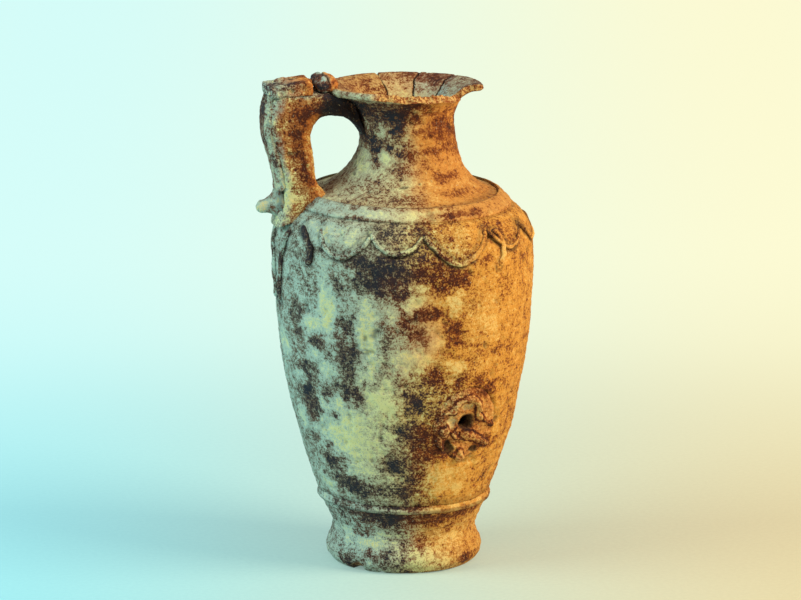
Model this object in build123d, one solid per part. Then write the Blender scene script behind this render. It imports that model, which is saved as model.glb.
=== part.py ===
from build123d import *
import math
import os

# A wheel-thrown clay jug: ring foot, ovoid body, collared neck with a round trumpet mouth, one strap handle and a
# relief garland. The pieces were thrown or rolled apart and luted together, and the lip was broken and mended.
# Millimetres, +Z up. The origin is the middle of the resting ring. The handle is at -X and the mouth pours to +X.

# Slip joints and repair
LUTE = 0.2                  # slip left between two round faces that were fitted together
MEND_GAP = 0.3              # glue between two sherds

# Foot, a hollow ring
FOOT_HEIGHT = 32.5
FOOT_BULGE_RADIUS = 37.0
FOOT_BULGE_HEIGHT = 6.5     # height of the widest part of its rounded edge
FOOT_EDGE_ROUND = 4.6       # how far the resting edge lies inside the bulge
FOOT_REST_WIDTH = 6.4       # width of the ring that touches the table
FOOT_WAIST_DEPTH = 3.5      # how far the waist lies inside the bulge
FOOT_WAIST_HEIGHT = 18.5
FOOT_WAIST_ROUND = 9.0
FOOT_TOP_INSET = 1.2        # how far its top lies inside the foot of the body
SOCKET_DEPTH = 10.0         # straight part of its bore, which takes the body's spigot

# Coil pressed round the joint of foot and body
COIL_HEIGHT = 4.0
COIL_PROUD = 0.3
COIL_SEAT_DEPTH = 3.3       # depth of the groove it lies in

# Body, an ovoid shell
BODY_BASE_RADIUS = 41.0
BELLY_RADIUS = 61.6
BELLY_RISE = 111.5          # from the coil to the upright part of the wall
UPRIGHT_RISE = 9.0          # upright part, the widest
SHOULDER_RISE = 19.0        # from the upright part to the seat of the neck
SHOULDER_INSET = 10.6       # how far the shoulder comes in over that height
BODY_WALL = 5.0
FLOOR_DISH = 9.0            # how much the floor's edge rises above its middle
FLOOR_ABOVE_JOINT = 4.0
SPIGOT_RADIUS = 20.0
SPIGOT_DEPTH = 4.0

# Collar round the base of the neck
COLLAR_WIDTH = 6.0
COLLAR_EDGE_HEIGHT = 1.6
COLLAR_CREST_HEIGHT = 5.9
COLLAR_EDGE_ROUND = 0.8

# Neck and trumpet mouth
THROAT_RADIUS = 22.8
THROAT_HEIGHT = 6.0         # upright part of the throat
NECK_EDGE_HEIGHT = 5.0      # height of its base edge, inside the collar
NECK_RISE = 33.0            # from the shoulder's seat to the throat
NECK_BORE_FLARE = 5.6       # how much the bore opens from the throat to its base
NECK_SPIGOT_WALL = 4.0
NECK_SPIGOT_DEPTH = 4.0
LIP_RISE = 13.8
LIP_SPREAD = 13.6
NECK_WALL = 3.6             # of the throat and the lip alike
MOUTH_LEAN = 2.9            # degrees that the mouth leans back
MOUTH_LEAN_ANGLE = -104.0   # direction in which its edge stands highest
LIP_ROUND = 1.5             # bulge of the lip's rounded edge

# Break and mends of the lip, angles about +Z from +X
# Ragged edge of the break: angle, and the share of the lip's height that is left there
BREAK_EDGE = (
    (-129, 1.02), (-124, 0.93), (-118, 0.84), (-110, 0.79), (-102, 0.75), (-94, 0.78), (-84, 0.74),
    (-74, 0.75), (-64, 0.68), (-54, 0.66), (-44, 0.58), (-33, 0.57), (-24, 0.52), (-17, 0.53),
)
MEND_ANGLES = (-17.0, 33.0, 64.0, 98.0)  # the break ends at the first
MEND_DEPTH = 14.0           # how far the mended sherds reach below the top of the lip

# Handle
HANDLE_WIDTH = 20.0
HANDLE_REACH = 65.6         # from the axis to the back of the strap at its top
HANDLE_BOW = 1.2            # how much further its back stands out below the bend
HANDLE_BOW_DROP = 18.5      # how far below its top that is
HANDLE_BOW_ROUND = 45.0
HANDLE_LEAN = 5.9           # how much the back has come in by the foot of the strap
HANDLE_THICKNESS = 18.7
HANDLE_TAPER = 3.5          # how much thinner it is where it meets the shoulder
HANDLE_STRAP_DEPTH = 11.0   # thickness of the level part
HANDLE_ABOVE_LIP = 2.7
HANDLE_BEND_ROUND = 6.0
HANDLE_ARCH_ROUND = 10.0
ARCH_ROUND_SHARE = 0.65     # most of the arch's level part that one of its rounds takes
HANDLE_ROOT_DEPTH = 9.0     # how much lower the strap's underside is at the neck than at the top of the arch
HANDLE_ROOT_LENGTH = 11.0   # length over which it comes down
HANDLE_FLARE_HEIGHT = 12.0  # height over which it spreads onto the shoulder
HANDLE_FLARE_OUT = 4.0
HANDLE_FLARE_IN = 5.0
HANDLE_UNDER_SPUR = 0.6     # how far its foot comes down below the spur
HANDLE_EDGE_ROUND = 5.0
STRIP_WIDTH = 16.0
STRIP_THICKNESS = 2.0
STRIP_ROUND = 1.0
PLATE_WIDTH = 20.0
PLATE_HEIGHT = 6.4
PLATE_SLOPE = 2.6           # how much lower its back end is
PLATE_GAP = 2.2             # between the plate and the roll on the lip
PLATE_OVERHANG = 1.2
PLATE_ROUND = 2.4
ROLL_RADIUS = 3.6           # each of the roll's two lobes
ROLL_SPREAD = 1.9           # from the middle of the roll to the middle of a lobe
ROLL_LENGTH = 18.0
ROLL_ROUND = 1.8
ROLL_OUTSIDE_LIP = 2.2
SPUR_LENGTH = 10.8
SPUR_ROOT_RADIUS = 8.4
SPUR_ROOT_DEPTH = 3.0
SPUR_TIP_RADIUS = 3.3
SPUR_DROOP = 8.0            # degrees below level
SPUR_ABOVE_SEAT = 1.5

# Garland of rolled strips round the shoulder
CORD_RADIUS = 1.6
CORD_INSET = 0.5            # how far its middle is pressed below the clay's surface
CREST_BELOW_SEAT = 5.0
SWAG_GAP = 0.5              # between the ends of two strips
SWAG_CRESTS = (-148, -120, -95, -61, -33, -7, 19, 45, 70, 96, 121, 148)
SWAG_DROPS = (12, 8, 13, 11, 10, 11, 10, 12, 10, 9, 11)
# Each ribbon end: angle and depth below the seat at its top, then at its tip
RIBBON_ENDS = {
    "near_handle": (-159.0, 6.0, -152.0, 19.5),
    "near_back": (-167.0, 10.0, -175.0, 45.0),
    "near_front": (-53.0, 6.5, -56.0, 23.0),
    "far_front": (58.0, 6.5, 60.0, 23.0),
    "far_back": (167.0, 10.0, 175.0, 45.0),
    "far_handle": (159.0, 6.0, 152.0, 19.5),
}
RIBBON_CURL_RADIUS = 2.2
RIBBON_TURN = 0.38          # share of its turn round the body that it has made half way down

# Root of a relief that came off the lower belly, with a hole through the wall
STUMP_ANGLE = -70.0
STUMP_HEIGHT = 77.0
STUMP_HOLE_RADIUS = 2.8
STUMP_THICKNESS = 2.2
# Outlines of the crusts of clay that are left, seen square on: distance to the right of the hole and above it
STUMP_CRUSTS = (
    ((-6.7, 12.5), (-4.6, 16.4), (0.4, 17.2), (5.6, 12.2), (6.7, 6.6), (3.9, 5.6), (2.4, 9.4), (-0.8, 11.2)),
    ((-15.5, -3.0), (-9.5, 3.6), (-5.3, 2.1), (-7.2, -5.0), (-12.6, -7.4)),
    ((-8.2, -12.2), (-3.2, -11.0), (1.8, -15.4), (0.4, -18.9), (-4.6, -20.5), (-7.4, -18.4)),
    ((1.4, -9.6), (4.9, -6.4), (9.8, -10.0), (7.4, -13.4), (2.8, -14.0)),
)

# Heights and radii that follow
COIL_TOP = FOOT_HEIGHT + COIL_HEIGHT
BELLY_HEIGHT = COIL_TOP + BELLY_RISE
SHOULDER_HEIGHT = BELLY_HEIGHT + UPRIGHT_RISE
SEAT_HEIGHT = SHOULDER_HEIGHT + SHOULDER_RISE
THROAT_BOTTOM = SEAT_HEIGHT + NECK_RISE
THROAT_TOP = THROAT_BOTTOM + THROAT_HEIGHT
SEAT_RADIUS = BELLY_RADIUS - SHOULDER_INSET
NECK_BASE_RADIUS = SEAT_RADIUS - COLLAR_WIDTH - LUTE
BORE_RADIUS = THROAT_RADIUS - NECK_WALL + NECK_BORE_FLARE
NECK_SPIGOT_RADIUS = BORE_RADIUS + NECK_SPIGOT_WALL
COIL_SEAT_RADIUS = BODY_BASE_RADIUS - COIL_SEAT_DEPTH
OUTSIDE = 2 * BELLY_RADIUS  # further from the axis than any piece


class WallArc:
    """Arc of the wall's outline. It stands upright at (r_up, z_up) and ends at (r_end, z_end)."""

    def __init__(self, r_up, z_up, r_end, z_end):
        spread = r_end - r_up
        rise = z_end - z_up
        self.radius = (spread**2 + rise**2) / (2 * abs(spread))
        self.side = 1 if spread < 0 else -1  # 1 where the wall bulges, -1 where it is hollow
        self.centre = r_up - self.side * self.radius
        self.z_up = z_up
        self.sweep = math.atan2(rise, self.side * (r_end - self.centre))

    def point(self, share, inset=0.0):
        """Radius and height at a share of the arc, on the face that lies inset nearer the axis."""
        radius = self.radius - self.side * inset
        angle = self.sweep * share
        return self.centre + self.side * radius * math.cos(angle), self.z_up + radius * math.sin(angle)

    def share_at_height(self, z, inset=0.0):
        return math.asin((z - self.z_up) / (self.radius - self.side * inset)) / self.sweep

    def share_at_radius(self, r, inset=0.0):
        return math.acos(self.side * (r - self.centre) / (self.radius - self.side * inset)) / abs(self.sweep)

    def edge(self, start=0.0, end=1.0, inset=0.0):
        return arc(*(self.point(share, inset) for share in (start, (start + end) / 2, end)))


BELLY = WallArc(BELLY_RADIUS, BELLY_HEIGHT, BODY_BASE_RADIUS, COIL_TOP)
SHOULDER = WallArc(BELLY_RADIUS, SHOULDER_HEIGHT, SEAT_RADIUS, SEAT_HEIGHT)
NECK_FLARE = WallArc(THROAT_RADIUS, THROAT_BOTTOM, NECK_BASE_RADIUS, SEAT_HEIGHT + NECK_EDGE_HEIGHT)
LIP = WallArc(THROAT_RADIUS, THROAT_TOP, THROAT_RADIUS + LIP_SPREAD, THROAT_TOP + LIP_RISE)
LIP_TOP = LIP.point(1, NECK_WALL)[1]
HANDLE_TOP = LIP.point(1)[1] + HANDLE_ABOVE_LIP
HANDLE_BACK = (
    (HANDLE_REACH, HANDLE_TOP),
    (HANDLE_REACH + HANDLE_BOW, HANDLE_TOP - HANDLE_BOW_DROP),
    (HANDLE_REACH - HANDLE_LEAN, SEAT_HEIGHT + HANDLE_FLARE_HEIGHT),
)


def at(point):
    """Puts a radius and a height in the plane of the half section."""
    return point[0], 0, point[1]


def arc(start, middle, end):
    return ThreePointArc(at(start), at(middle), at(end))


def lines(*points):
    return Polyline(*(at(point) for point in points))


def turned(*edges):
    """Solid of a half section turned about the jug's axis."""
    return revolve(make_face(edges), Axis.Z)


def wedge(start, end, bottom, top):
    """Sector of the space round the axis between two angles and two heights."""
    steps = 6
    turns = [math.radians(start + (end - start) * i / steps) for i in range(steps + 1)]
    rim = [(OUTSIDE * math.cos(turn), OUTSIDE * math.sin(turn)) for turn in turns]
    return Pos(0, 0, bottom) * extrude(make_face(Polyline((0, 0), *rim, close=True)), top - bottom)


def circle_at(solid, z):
    """The round edges of a turned solid at one height."""
    return solid.edges().filter_by(GeomType.CIRCLE).filter_by_position(Axis.Z, z - LUTE, z + LUTE)


def square_on(angle, outline):
    """Space outwards from the axis, seen square on from an angle, inside an outline of steps right and heights."""
    view = Plane.YZ.rotated((0, 0, angle))
    return extrude(view * make_face(Polyline(*outline, close=True)), OUTSIDE)


def foot():
    """Hollow ring foot: flat resting ring, rounded edge, waist, and a socket for the body's spigot."""
    rest = FOOT_BULGE_RADIUS - FOOT_EDGE_ROUND
    hollow = rest - FOOT_REST_WIDTH
    top = BODY_BASE_RADIUS - FOOT_TOP_INSET
    socket = SPIGOT_RADIUS + LUTE
    waist = FOOT_BULGE_RADIUS - FOOT_WAIST_DEPTH
    above_bulge = (FOOT_BULGE_RADIUS + waist) / 2, (FOOT_BULGE_HEIGHT + FOOT_WAIST_HEIGHT) / 2
    ring = turned(
        lines((hollow, 0), (rest, 0)),
        arc((rest, 0), (FOOT_BULGE_RADIUS, FOOT_BULGE_HEIGHT), above_bulge),
        lines(
            above_bulge, (waist, FOOT_WAIST_HEIGHT), (top, FOOT_HEIGHT),
            (socket, FOOT_HEIGHT), (socket, FOOT_HEIGHT - SOCKET_DEPTH), (hollow, 0),
        ),
    )
    return fillet(circle_at(ring, FOOT_WAIST_HEIGHT), FOOT_WAIST_ROUND)


def foot_coil():
    """Rounded coil in the groove over the joint of foot and body."""
    inner = COIL_SEAT_RADIUS + LUTE
    outer = BODY_BASE_RADIUS + COIL_PROUD
    edge = BODY_BASE_RADIUS - COIL_PROUD
    return turned(
        lines((edge, COIL_TOP), (inner, COIL_TOP), (inner, FOOT_HEIGHT), (edge, FOOT_HEIGHT)),
        arc((edge, FOOT_HEIGHT), (outer, (FOOT_HEIGHT + COIL_TOP) / 2), (edge, COIL_TOP)),
    )


def body_outline():
    """Outer edges of the body, from its spigot to the inner end of the neck's seat."""
    opening = NECK_SPIGOT_RADIUS + LUTE
    return [
        lines(
            (0, FOOT_HEIGHT - SPIGOT_DEPTH), (SPIGOT_RADIUS, FOOT_HEIGHT - SPIGOT_DEPTH),
            (SPIGOT_RADIUS, FOOT_HEIGHT), (COIL_SEAT_RADIUS, FOOT_HEIGHT), (COIL_SEAT_RADIUS, COIL_TOP),
            (BODY_BASE_RADIUS, COIL_TOP),
        ),
        BELLY.edge(),
        lines(BELLY.point(0), SHOULDER.point(0)),
        SHOULDER.edge(),
        lines((SEAT_RADIUS, SEAT_HEIGHT), (opening, SEAT_HEIGHT)),
    ]


def body():
    """Ovoid shell of even wall with a dished floor, open at the neck's seat and pierced low on one side."""
    opening = NECK_SPIGOT_RADIUS + LUTE
    floor = FOOT_HEIGHT + FLOOR_ABOVE_JOINT
    floor_edge = BELLY.share_at_height(floor + FLOOR_DISH, BODY_WALL)
    edge_r, edge_z = BELLY.point(floor_edge, BODY_WALL)
    dish = (edge_r**2 + FLOOR_DISH**2) / (2 * FLOOR_DISH)
    ceiling = SEAT_HEIGHT - BODY_WALL
    ceiling_share = SHOULDER.share_at_height(ceiling, BODY_WALL)
    shell = turned(
        *body_outline(),
        lines((opening, SEAT_HEIGHT), (opening, ceiling), SHOULDER.point(ceiling_share, BODY_WALL)),
        SHOULDER.edge(0, ceiling_share, BODY_WALL),
        lines(SHOULDER.point(0, BODY_WALL), BELLY.point(0, BODY_WALL)),
        BELLY.edge(0, floor_edge, BODY_WALL),
        arc((edge_r, edge_z), (edge_r / 2, floor + dish - math.sqrt(dish**2 - edge_r**2 / 4)), (0, floor)),
        lines((0, floor), (0, FOOT_HEIGHT - SPIGOT_DEPTH)),
    )
    drill = Rot(0, 0, STUMP_ANGLE) * Pos(BELLY_RADIUS, 0, STUMP_HEIGHT) * Rot(0, 90, 0)
    return shell - drill * Cylinder(STUMP_HOLE_RADIUS, BELLY_RADIUS)


def body_space():
    """Everything inside the body's outer face, to cut the seats of what is pressed on it."""
    return turned(
        *body_outline(),
        lines((NECK_SPIGOT_RADIUS + LUTE, SEAT_HEIGHT), (0, SEAT_HEIGHT), (0, FOOT_HEIGHT - SPIGOT_DEPTH)),
    )


def shoulder_collar():
    """Sloping ring on the shoulder's seat, round the base of the neck."""
    inner = NECK_BASE_RADIUS + LUTE
    edge = SEAT_HEIGHT + COLLAR_EDGE_HEIGHT
    ring = turned(lines(
        (inner, SEAT_HEIGHT), (SEAT_RADIUS, SEAT_HEIGHT), (SEAT_RADIUS, edge),
        (inner, SEAT_HEIGHT + COLLAR_CREST_HEIGHT), (inner, SEAT_HEIGHT),
    ))
    return fillet(circle_at(ring, edge), COLLAR_EDGE_ROUND)


def neck_outline():
    """Outer edges of the neck, from its spigot to the inside of the lip's rounded edge."""
    outer = LIP.point(1)
    inner = LIP.point(1, NECK_WALL)
    nose = (outer[0] + inner[0]) / 2 + LIP_ROUND, (outer[1] + inner[1]) / 2
    return [
        lines(
            (NECK_SPIGOT_RADIUS, SEAT_HEIGHT - NECK_SPIGOT_DEPTH), (NECK_SPIGOT_RADIUS, SEAT_HEIGHT),
            (NECK_BASE_RADIUS, SEAT_HEIGHT), NECK_FLARE.point(1),
        ),
        NECK_FLARE.edge(),
        lines((THROAT_RADIUS, THROAT_BOTTOM), (THROAT_RADIUS, THROAT_TOP)),
        LIP.edge(),
        arc(outer, nose, inner),
    ]


def whole_neck():
    """The neck as it was thrown: spigot, flared base, upright throat and trumpet lip, open right through."""
    throat = THROAT_RADIUS - NECK_WALL
    bore_share = NECK_FLARE.share_at_radius(BORE_RADIUS, NECK_WALL)
    spigot_end = SEAT_HEIGHT - NECK_SPIGOT_DEPTH
    return turned(
        *neck_outline(),
        LIP.edge(0, 1, NECK_WALL),
        lines((throat, THROAT_TOP), NECK_FLARE.point(0, NECK_WALL)),
        NECK_FLARE.edge(0, bore_share, NECK_WALL),
        lines(
            NECK_FLARE.point(bore_share, NECK_WALL), (BORE_RADIUS, spigot_end), (NECK_SPIGOT_RADIUS, spigot_end),
        ),
    )


def neck_space():
    """Everything inside the neck's outer face, to cut the seats of the handle and the roll."""
    inner = LIP.point(1, NECK_WALL)
    spigot_end = SEAT_HEIGHT - NECK_SPIGOT_DEPTH
    space = turned(*neck_outline(), lines(inner, (0, inner[1]), (0, spigot_end), (NECK_SPIGOT_RADIUS, spigot_end)))
    return leaned(space)


def mouth_space():
    """The open space over the mouth, which the handle stops short of."""
    inner, top = LIP.point(1, NECK_WALL)
    return Pos(0, 0, top + HANDLE_STRAP_DEPTH / 2) * Cylinder(inner, HANDLE_STRAP_DEPTH)


def lip_break():
    """Space of the clay that is missing from the near side of the lip, past a ragged edge square to the wall."""
    sections = []
    for angle, share in BREAK_EDGE:
        outer = Vector(*LIP.point(share, -2 * NECK_WALL))
        inner = Vector(*LIP.point(share, 3 * NECK_WALL))
        beyond = (inner - outer).normalized().rotate(Axis.Z, -90) * OUTSIDE
        turn = math.radians(angle)
        corners = (outer, inner, inner + beyond, outer + beyond)
        ring = [(p.X * math.cos(turn), p.X * math.sin(turn), p.Y) for p in corners]
        sections.append(make_face(Polyline(*ring, close=True)))
    return loft(sections, ruled=True)


def leaned(neck):
    """The neck with its mouth leaned back: all above the middle of the throat turns about a level line there."""
    middle = Pos(0, 0, (THROAT_BOTTOM + THROAT_TOP) / 2)
    level = Rot(0, 0, MOUTH_LEAN_ANGLE)
    half, whole = (
        middle * level * Rot(0, -angle, 0) * level.inverse() for angle in (MOUTH_LEAN / 2, MOUTH_LEAN)
    )
    below, above = (half * Pos(0, 0, side * OUTSIDE) * Box(*3 * [2 * OUTSIDE]) for side in (-1, 1))
    return (neck & below) + (whole * middle.inverse() * neck & above)


def mended_mouth():
    """The neck without the broken and mended lip, and the sherds that were glued back."""
    whole = leaned(whole_neck() - lip_break())
    bottom = LIP_TOP - MEND_DEPTH
    top = LIP_TOP + NECK_WALL
    seams = [
        Rot(0, 0, angle) * Pos(OUTSIDE / 2, 0, (bottom + top) / 2) * Box(OUTSIDE, MEND_GAP, top - bottom)
        for angle in MEND_ANGLES
    ]
    neck = whole - wedge(MEND_ANGLES[0], MEND_ANGLES[-1], bottom, top)
    names = ("lip_sherd_right", "lip_sherd_far_right", "lip_sherd_far")
    pieces = {"neck": neck}
    for name, start, end in zip(names, MEND_ANGLES, MEND_ANGLES[1:]):
        pieces[name] = (whole & wedge(start, end, bottom + MEND_GAP, top)) - seams
    return pieces


def in_handle_plane(points, rounds):
    """Face in the handle's upright plane from distances behind the axis and heights, with rounded corners."""
    outline = make_face(Polyline(*((-r, z) for r, z in points), close=True))
    for (r, z), radius in zip(points, rounds):
        if radius:
            corner = outline.vertices().sort_by_distance((-r, z, 0))[0]
            outline = fillet(corner, radius)
    return Plane.XZ * outline


def across(face, width):
    """Solid of a face in the handle's plane, half its width to each side."""
    return extrude(face, width / 2, both=True)


def strap_edges(solid):
    """Edges of the two flat sides of a piece that lies across the handle's plane."""
    sides = solid.faces().sort_by(Axis.Y)
    return sides[0].edges() + sides[-1].edges()


def handle_core(seats):
    """Strap from the lip over the bend and down to the shoulder, where it spreads over the collar."""
    foot_level = SEAT_HEIGHT + SPUR_ABOVE_SEAT - SPUR_ROOT_RADIUS - HANDLE_UNDER_SPUR
    arch = HANDLE_TOP - HANDLE_STRAP_DEPTH
    back_low, low = HANDLE_BACK[-1]
    front_low = back_low - (HANDLE_THICKNESS - HANDLE_TAPER)
    root = THROAT_RADIUS - NECK_WALL / 2
    arch_back = HANDLE_BACK[1][0] - HANDLE_THICKNESS
    arch_front = root + HANDLE_ROOT_LENGTH
    arch_round = min(HANDLE_ARCH_ROUND, ARCH_ROUND_SHARE * (arch_back - arch_front))
    strap = across(in_handle_plane(
        [
            (root, HANDLE_TOP), *HANDLE_BACK,
            (back_low + HANDLE_FLARE_OUT, foot_level), (front_low - HANDLE_FLARE_IN, foot_level),
            (front_low - HANDLE_FLARE_IN, SEAT_HEIGHT + COLLAR_CREST_HEIGHT), (front_low, low),
            (arch_back, arch), (arch_front, arch),
            (root, arch - HANDLE_ROOT_DEPTH),
        ],
        (
            0, HANDLE_BEND_ROUND, HANDLE_BOW_ROUND, HANDLE_ARCH_ROUND,
            0, 0, 0, HANDLE_ARCH_ROUND, arch_round, arch_round, 0,
        ),
    ), HANDLE_WIDTH)
    return fillet(strap_edges(strap), HANDLE_EDGE_ROUND) - seats


def handle_back_strip(core):
    """Strip laid down the bowed back of the strap, from under the plate to the spur."""
    bend, bow, low = HANDLE_BACK
    strip = across(in_handle_plane(
        [
            (bend[0] - HANDLE_BEND_ROUND, bend[1]), (bend[0] + STRIP_THICKNESS, bend[1]),
            (bow[0] + STRIP_THICKNESS, bow[1]), (low[0] + STRIP_THICKNESS, low[1]),
            low, (bow[0] - HANDLE_BEND_ROUND, bow[1]),
        ],
        (0, STRIP_THICKNESS, HANDLE_BOW_ROUND, 0, 0, 0),
    ), STRIP_WIDTH)
    return fillet(strap_edges(strip), STRIP_ROUND) - core


def handle_top_plate(inner):
    """Thumb plate, a slab on the level part of the strap that overhangs the strip at the back."""
    outer = HANDLE_REACH + PLATE_OVERHANG
    top = HANDLE_TOP + PLATE_HEIGHT
    slab = across(in_handle_plane(
        [(inner, HANDLE_TOP), (inner, top), (outer, top - PLATE_SLOPE), (outer, HANDLE_TOP)],
        (0, PLATE_ROUND, PLATE_ROUND, 0),
    ), PLATE_WIDTH)
    upright = slab.edges().filter_by(Axis.Z)
    return fillet(upright, PLATE_ROUND)


def rim_roll(middle, seats):
    """Double-lobed roll of clay across the handle, pressed on the lip and the strap."""
    height = HANDLE_TOP + ROLL_RADIUS - LUTE
    lobe = fillet(Cylinder(ROLL_RADIUS, ROLL_LENGTH).edges().filter_by(GeomType.CIRCLE), ROLL_ROUND)
    lying = Rot(90, 0, 0) * lobe
    lobes = [Pos(-middle + side * ROLL_SPREAD, 0, height) * lying for side in (-1, 1)]
    return lobes[0] + lobes[1] - seats


def handle_spur(seats):
    """Pointed tip at the lower end of the strip, turned outwards over the shoulder."""
    root = -SPUR_ROOT_DEPTH
    tip = SPUR_LENGTH - SPUR_TIP_RADIUS
    horn = turned(
        lines((0, SPUR_LENGTH), (0, root), (SPUR_ROOT_RADIUS, root), (SPUR_ROOT_RADIUS, 0)),
        WallArc(SPUR_TIP_RADIUS, tip, SPUR_ROOT_RADIUS, 0).edge(),
        WallArc(SPUR_TIP_RADIUS, tip, 0, SPUR_LENGTH).edge(),
    )
    height = SEAT_HEIGHT + SPUR_ABOVE_SEAT
    base = -(HANDLE_REACH - HANDLE_LEAN + HANDLE_FLARE_OUT / 2)
    return Pos(base, 0, height) * Rot(0, -90 - SPUR_DROOP, 0) * horn - seats


def on_wall(angle, z, inset):
    """Point on the shoulder or belly at an angle and a height, pressed in by an inset."""
    if BELLY_HEIGHT < z < SHOULDER_HEIGHT:
        r = BELLY_RADIUS - inset
    else:
        wall = BELLY if z < BELLY_HEIGHT else SHOULDER
        r, z = wall.point(wall.share_at_height(z), inset)
    turn = math.radians(angle)
    return r * math.cos(turn), r * math.sin(turn), z


def cord(points, seat):
    """Rolled strip along the arc through three points, with the wall it is pressed on cut away."""
    path = ThreePointArc(*points)
    start = path @ 0
    outwards = Vector(start.X, start.Y, 0)
    return sweep(Plane(start, x_dir=outwards, z_dir=path % 0) * Circle(CORD_RADIUS), path) - seat


def swag(index, seat):
    """One strip of the garland, from crest to crest."""
    crest = SEAT_HEIGHT - CREST_BELOW_SEAT
    margin = math.degrees(SWAG_GAP / 2 / BELLY_RADIUS)
    start, end = SWAG_CRESTS[index : index + 2]
    strip = cord([
        on_wall(start, crest, CORD_INSET),
        on_wall((start + end) / 2, crest - SWAG_DROPS[index], CORD_INSET),
        on_wall(end, crest, CORD_INSET),
    ], seat)
    return strip & wedge(start + margin, end - margin, 0, SEAT_HEIGHT)


def ribbon(ends, seats):
    """One ribbon end, a strip that hangs down the wall and finishes in a curl."""
    angle, drop, tip_angle, tip_drop = ends
    tip = on_wall(tip_angle, SEAT_HEIGHT - tip_drop, CORD_INSET)
    tail = cord([
        on_wall(angle, SEAT_HEIGHT - drop, CORD_INSET),
        on_wall(angle + RIBBON_TURN * (tip_angle - angle), SEAT_HEIGHT - (drop + tip_drop) / 2, CORD_INSET),
        tip,
    ], seats[0])
    return tail + Pos(*tip) * Sphere(RIBBON_CURL_RADIUS) - seats


def relief_stump():
    """Crusts left of a relief on the belly, round the hole it stood over."""
    crust = turned(
        BELLY.edge(), lines(BELLY.point(1), BELLY.point(1, -STUMP_THICKNESS)), BELLY.edge(0, 1, -STUMP_THICKNESS),
        lines(BELLY.point(0, -STUMP_THICKNESS), BELLY.point(0)),
    )
    stump = Part()
    for outline in STUMP_CRUSTS:
        raised = [(right, STUMP_HEIGHT + up) for right, up in outline]
        stump += crust & square_on(STUMP_ANGLE, raised)
    return stump


pieces = {"foot": foot(), "foot_coil": foot_coil(), "body": body(), "shoulder_collar": shoulder_collar()}
pieces.update(mended_mouth())
body_seat = body_space()
neck_seat = neck_space()
seats = [body_seat, pieces["shoulder_collar"], neck_seat]

pieces["handle_core"] = handle_core([*seats, mouth_space()])
roll_middle = LIP.point(1)[0] + ROLL_OUTSIDE_LIP
plate_inner = roll_middle + ROLL_SPREAD + ROLL_RADIUS + PLATE_GAP
pieces["handle_top_plate"] = handle_top_plate(plate_inner)
pieces["handle_back_strip"] = handle_back_strip(pieces["handle_core"])
pieces["rim_roll"] = rim_roll(roll_middle, [pieces["handle_core"], neck_seat])
handle = [pieces["handle_core"], pieces["handle_back_strip"]]
pieces["handle_spur"] = handle_spur(seats + handle)
handle.append(pieces["handle_spur"])

for index in range(len(SWAG_DROPS)):
    pieces[f"swag_{index + 1:02d}"] = swag(index, body_seat)
swags = [pieces[name] for name in pieces if name.startswith("swag_")]
for name, ends in RIBBON_ENDS.items():
    pieces[f"ribbon_{name}"] = ribbon(ends, [body_seat, *handle, *swags])
pieces["relief_stump"] = relief_stump()

os.makedirs("parts", exist_ok=True)
for name, piece in pieces.items():
    export_step(piece, f"parts/{name}.step")
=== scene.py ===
import math
from itertools import product

import bpy
import numpy as np
from mathutils import Matrix


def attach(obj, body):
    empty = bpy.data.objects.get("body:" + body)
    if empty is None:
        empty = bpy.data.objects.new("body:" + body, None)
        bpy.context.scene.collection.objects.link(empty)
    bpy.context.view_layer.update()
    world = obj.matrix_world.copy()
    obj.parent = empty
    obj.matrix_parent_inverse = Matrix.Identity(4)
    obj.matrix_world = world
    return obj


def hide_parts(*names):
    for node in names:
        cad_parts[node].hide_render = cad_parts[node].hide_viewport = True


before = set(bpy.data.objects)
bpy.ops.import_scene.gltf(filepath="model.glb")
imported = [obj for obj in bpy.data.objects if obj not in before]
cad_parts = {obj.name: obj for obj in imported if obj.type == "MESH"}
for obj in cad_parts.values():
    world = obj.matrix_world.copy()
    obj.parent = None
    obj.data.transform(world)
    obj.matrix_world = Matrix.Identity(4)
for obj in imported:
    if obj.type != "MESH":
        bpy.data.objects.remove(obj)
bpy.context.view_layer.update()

# The foot: a hollow ring thrown by itself, on which the jug stands. Its resting edge is rolled and rubbed,
# with chips at the front, and its cone takes the spigot under the body. Sizes here and below are
# millimetres until a mesh is made.
MM = 0.001
FRONT, RIGHT = math.radians(-104), math.radians(-14)    # the most worn side, and the one to its right
FOOT_SECTION = (
    (20.2, 32.5), (30, 32.5), (39, 32.5), (39.7, 31.9), (38.2, 28.9), (36.1, 24.3), (34.85, 21.5),
    (34.15, 18.9), (34.1, 17.2), (34.45, 15.3), (35.4, 12.3), (36.6, 9.7), (37.05, 7.3), (36.7, 4.9),
    (35.6, 2.7), (34, 1), (32.4, 0), (29.2, 0), (26.2, 0), (25.5, 1.5), (23.6, 9), (21.6, 17), (20.3, 22.5),
    (20.2, 27),
)
FOOT_STEP, FOOT_TURNS = 0.62, 330
FOOT_CHIPS = (
    (-143, 1.5, 4, 3.6, 1.8), (-122, 0.3, 1.3, 1, 0.7), (-97, 2.5, 6, 2.5, 0.7), (40, 2, 7, 4, 2.0),
)
# Dark patches of slip, and round the front a band just under the coil, 24 to 29.5 mm up, that paints the
# shade under its overhang.
FOOT_DARK_AND_SHADE = (
    (-151, 5, 5, 4, 0.9), (-115, 28.5, 24, 4.6, 1.0), (-140, 24, 12, 5, 0.75), (-82, 27, 9, 3.5, 0.75),
    (-48, 6, 9, 3.5, 0.75), (-60, 29, 12, 2.5, 0.7), (-100, 17, 8, 2.2, 0.45), (-124, 9, 6, 3, 0.5),
)
FOOT_CREAM = ((-84, 7, 13, 5, 0.7), (-124, 15, 14, 4, 0.6), (-150, 20, 8, 7, 0.5), (-60, 17, 8, 6, 0.4))


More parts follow.
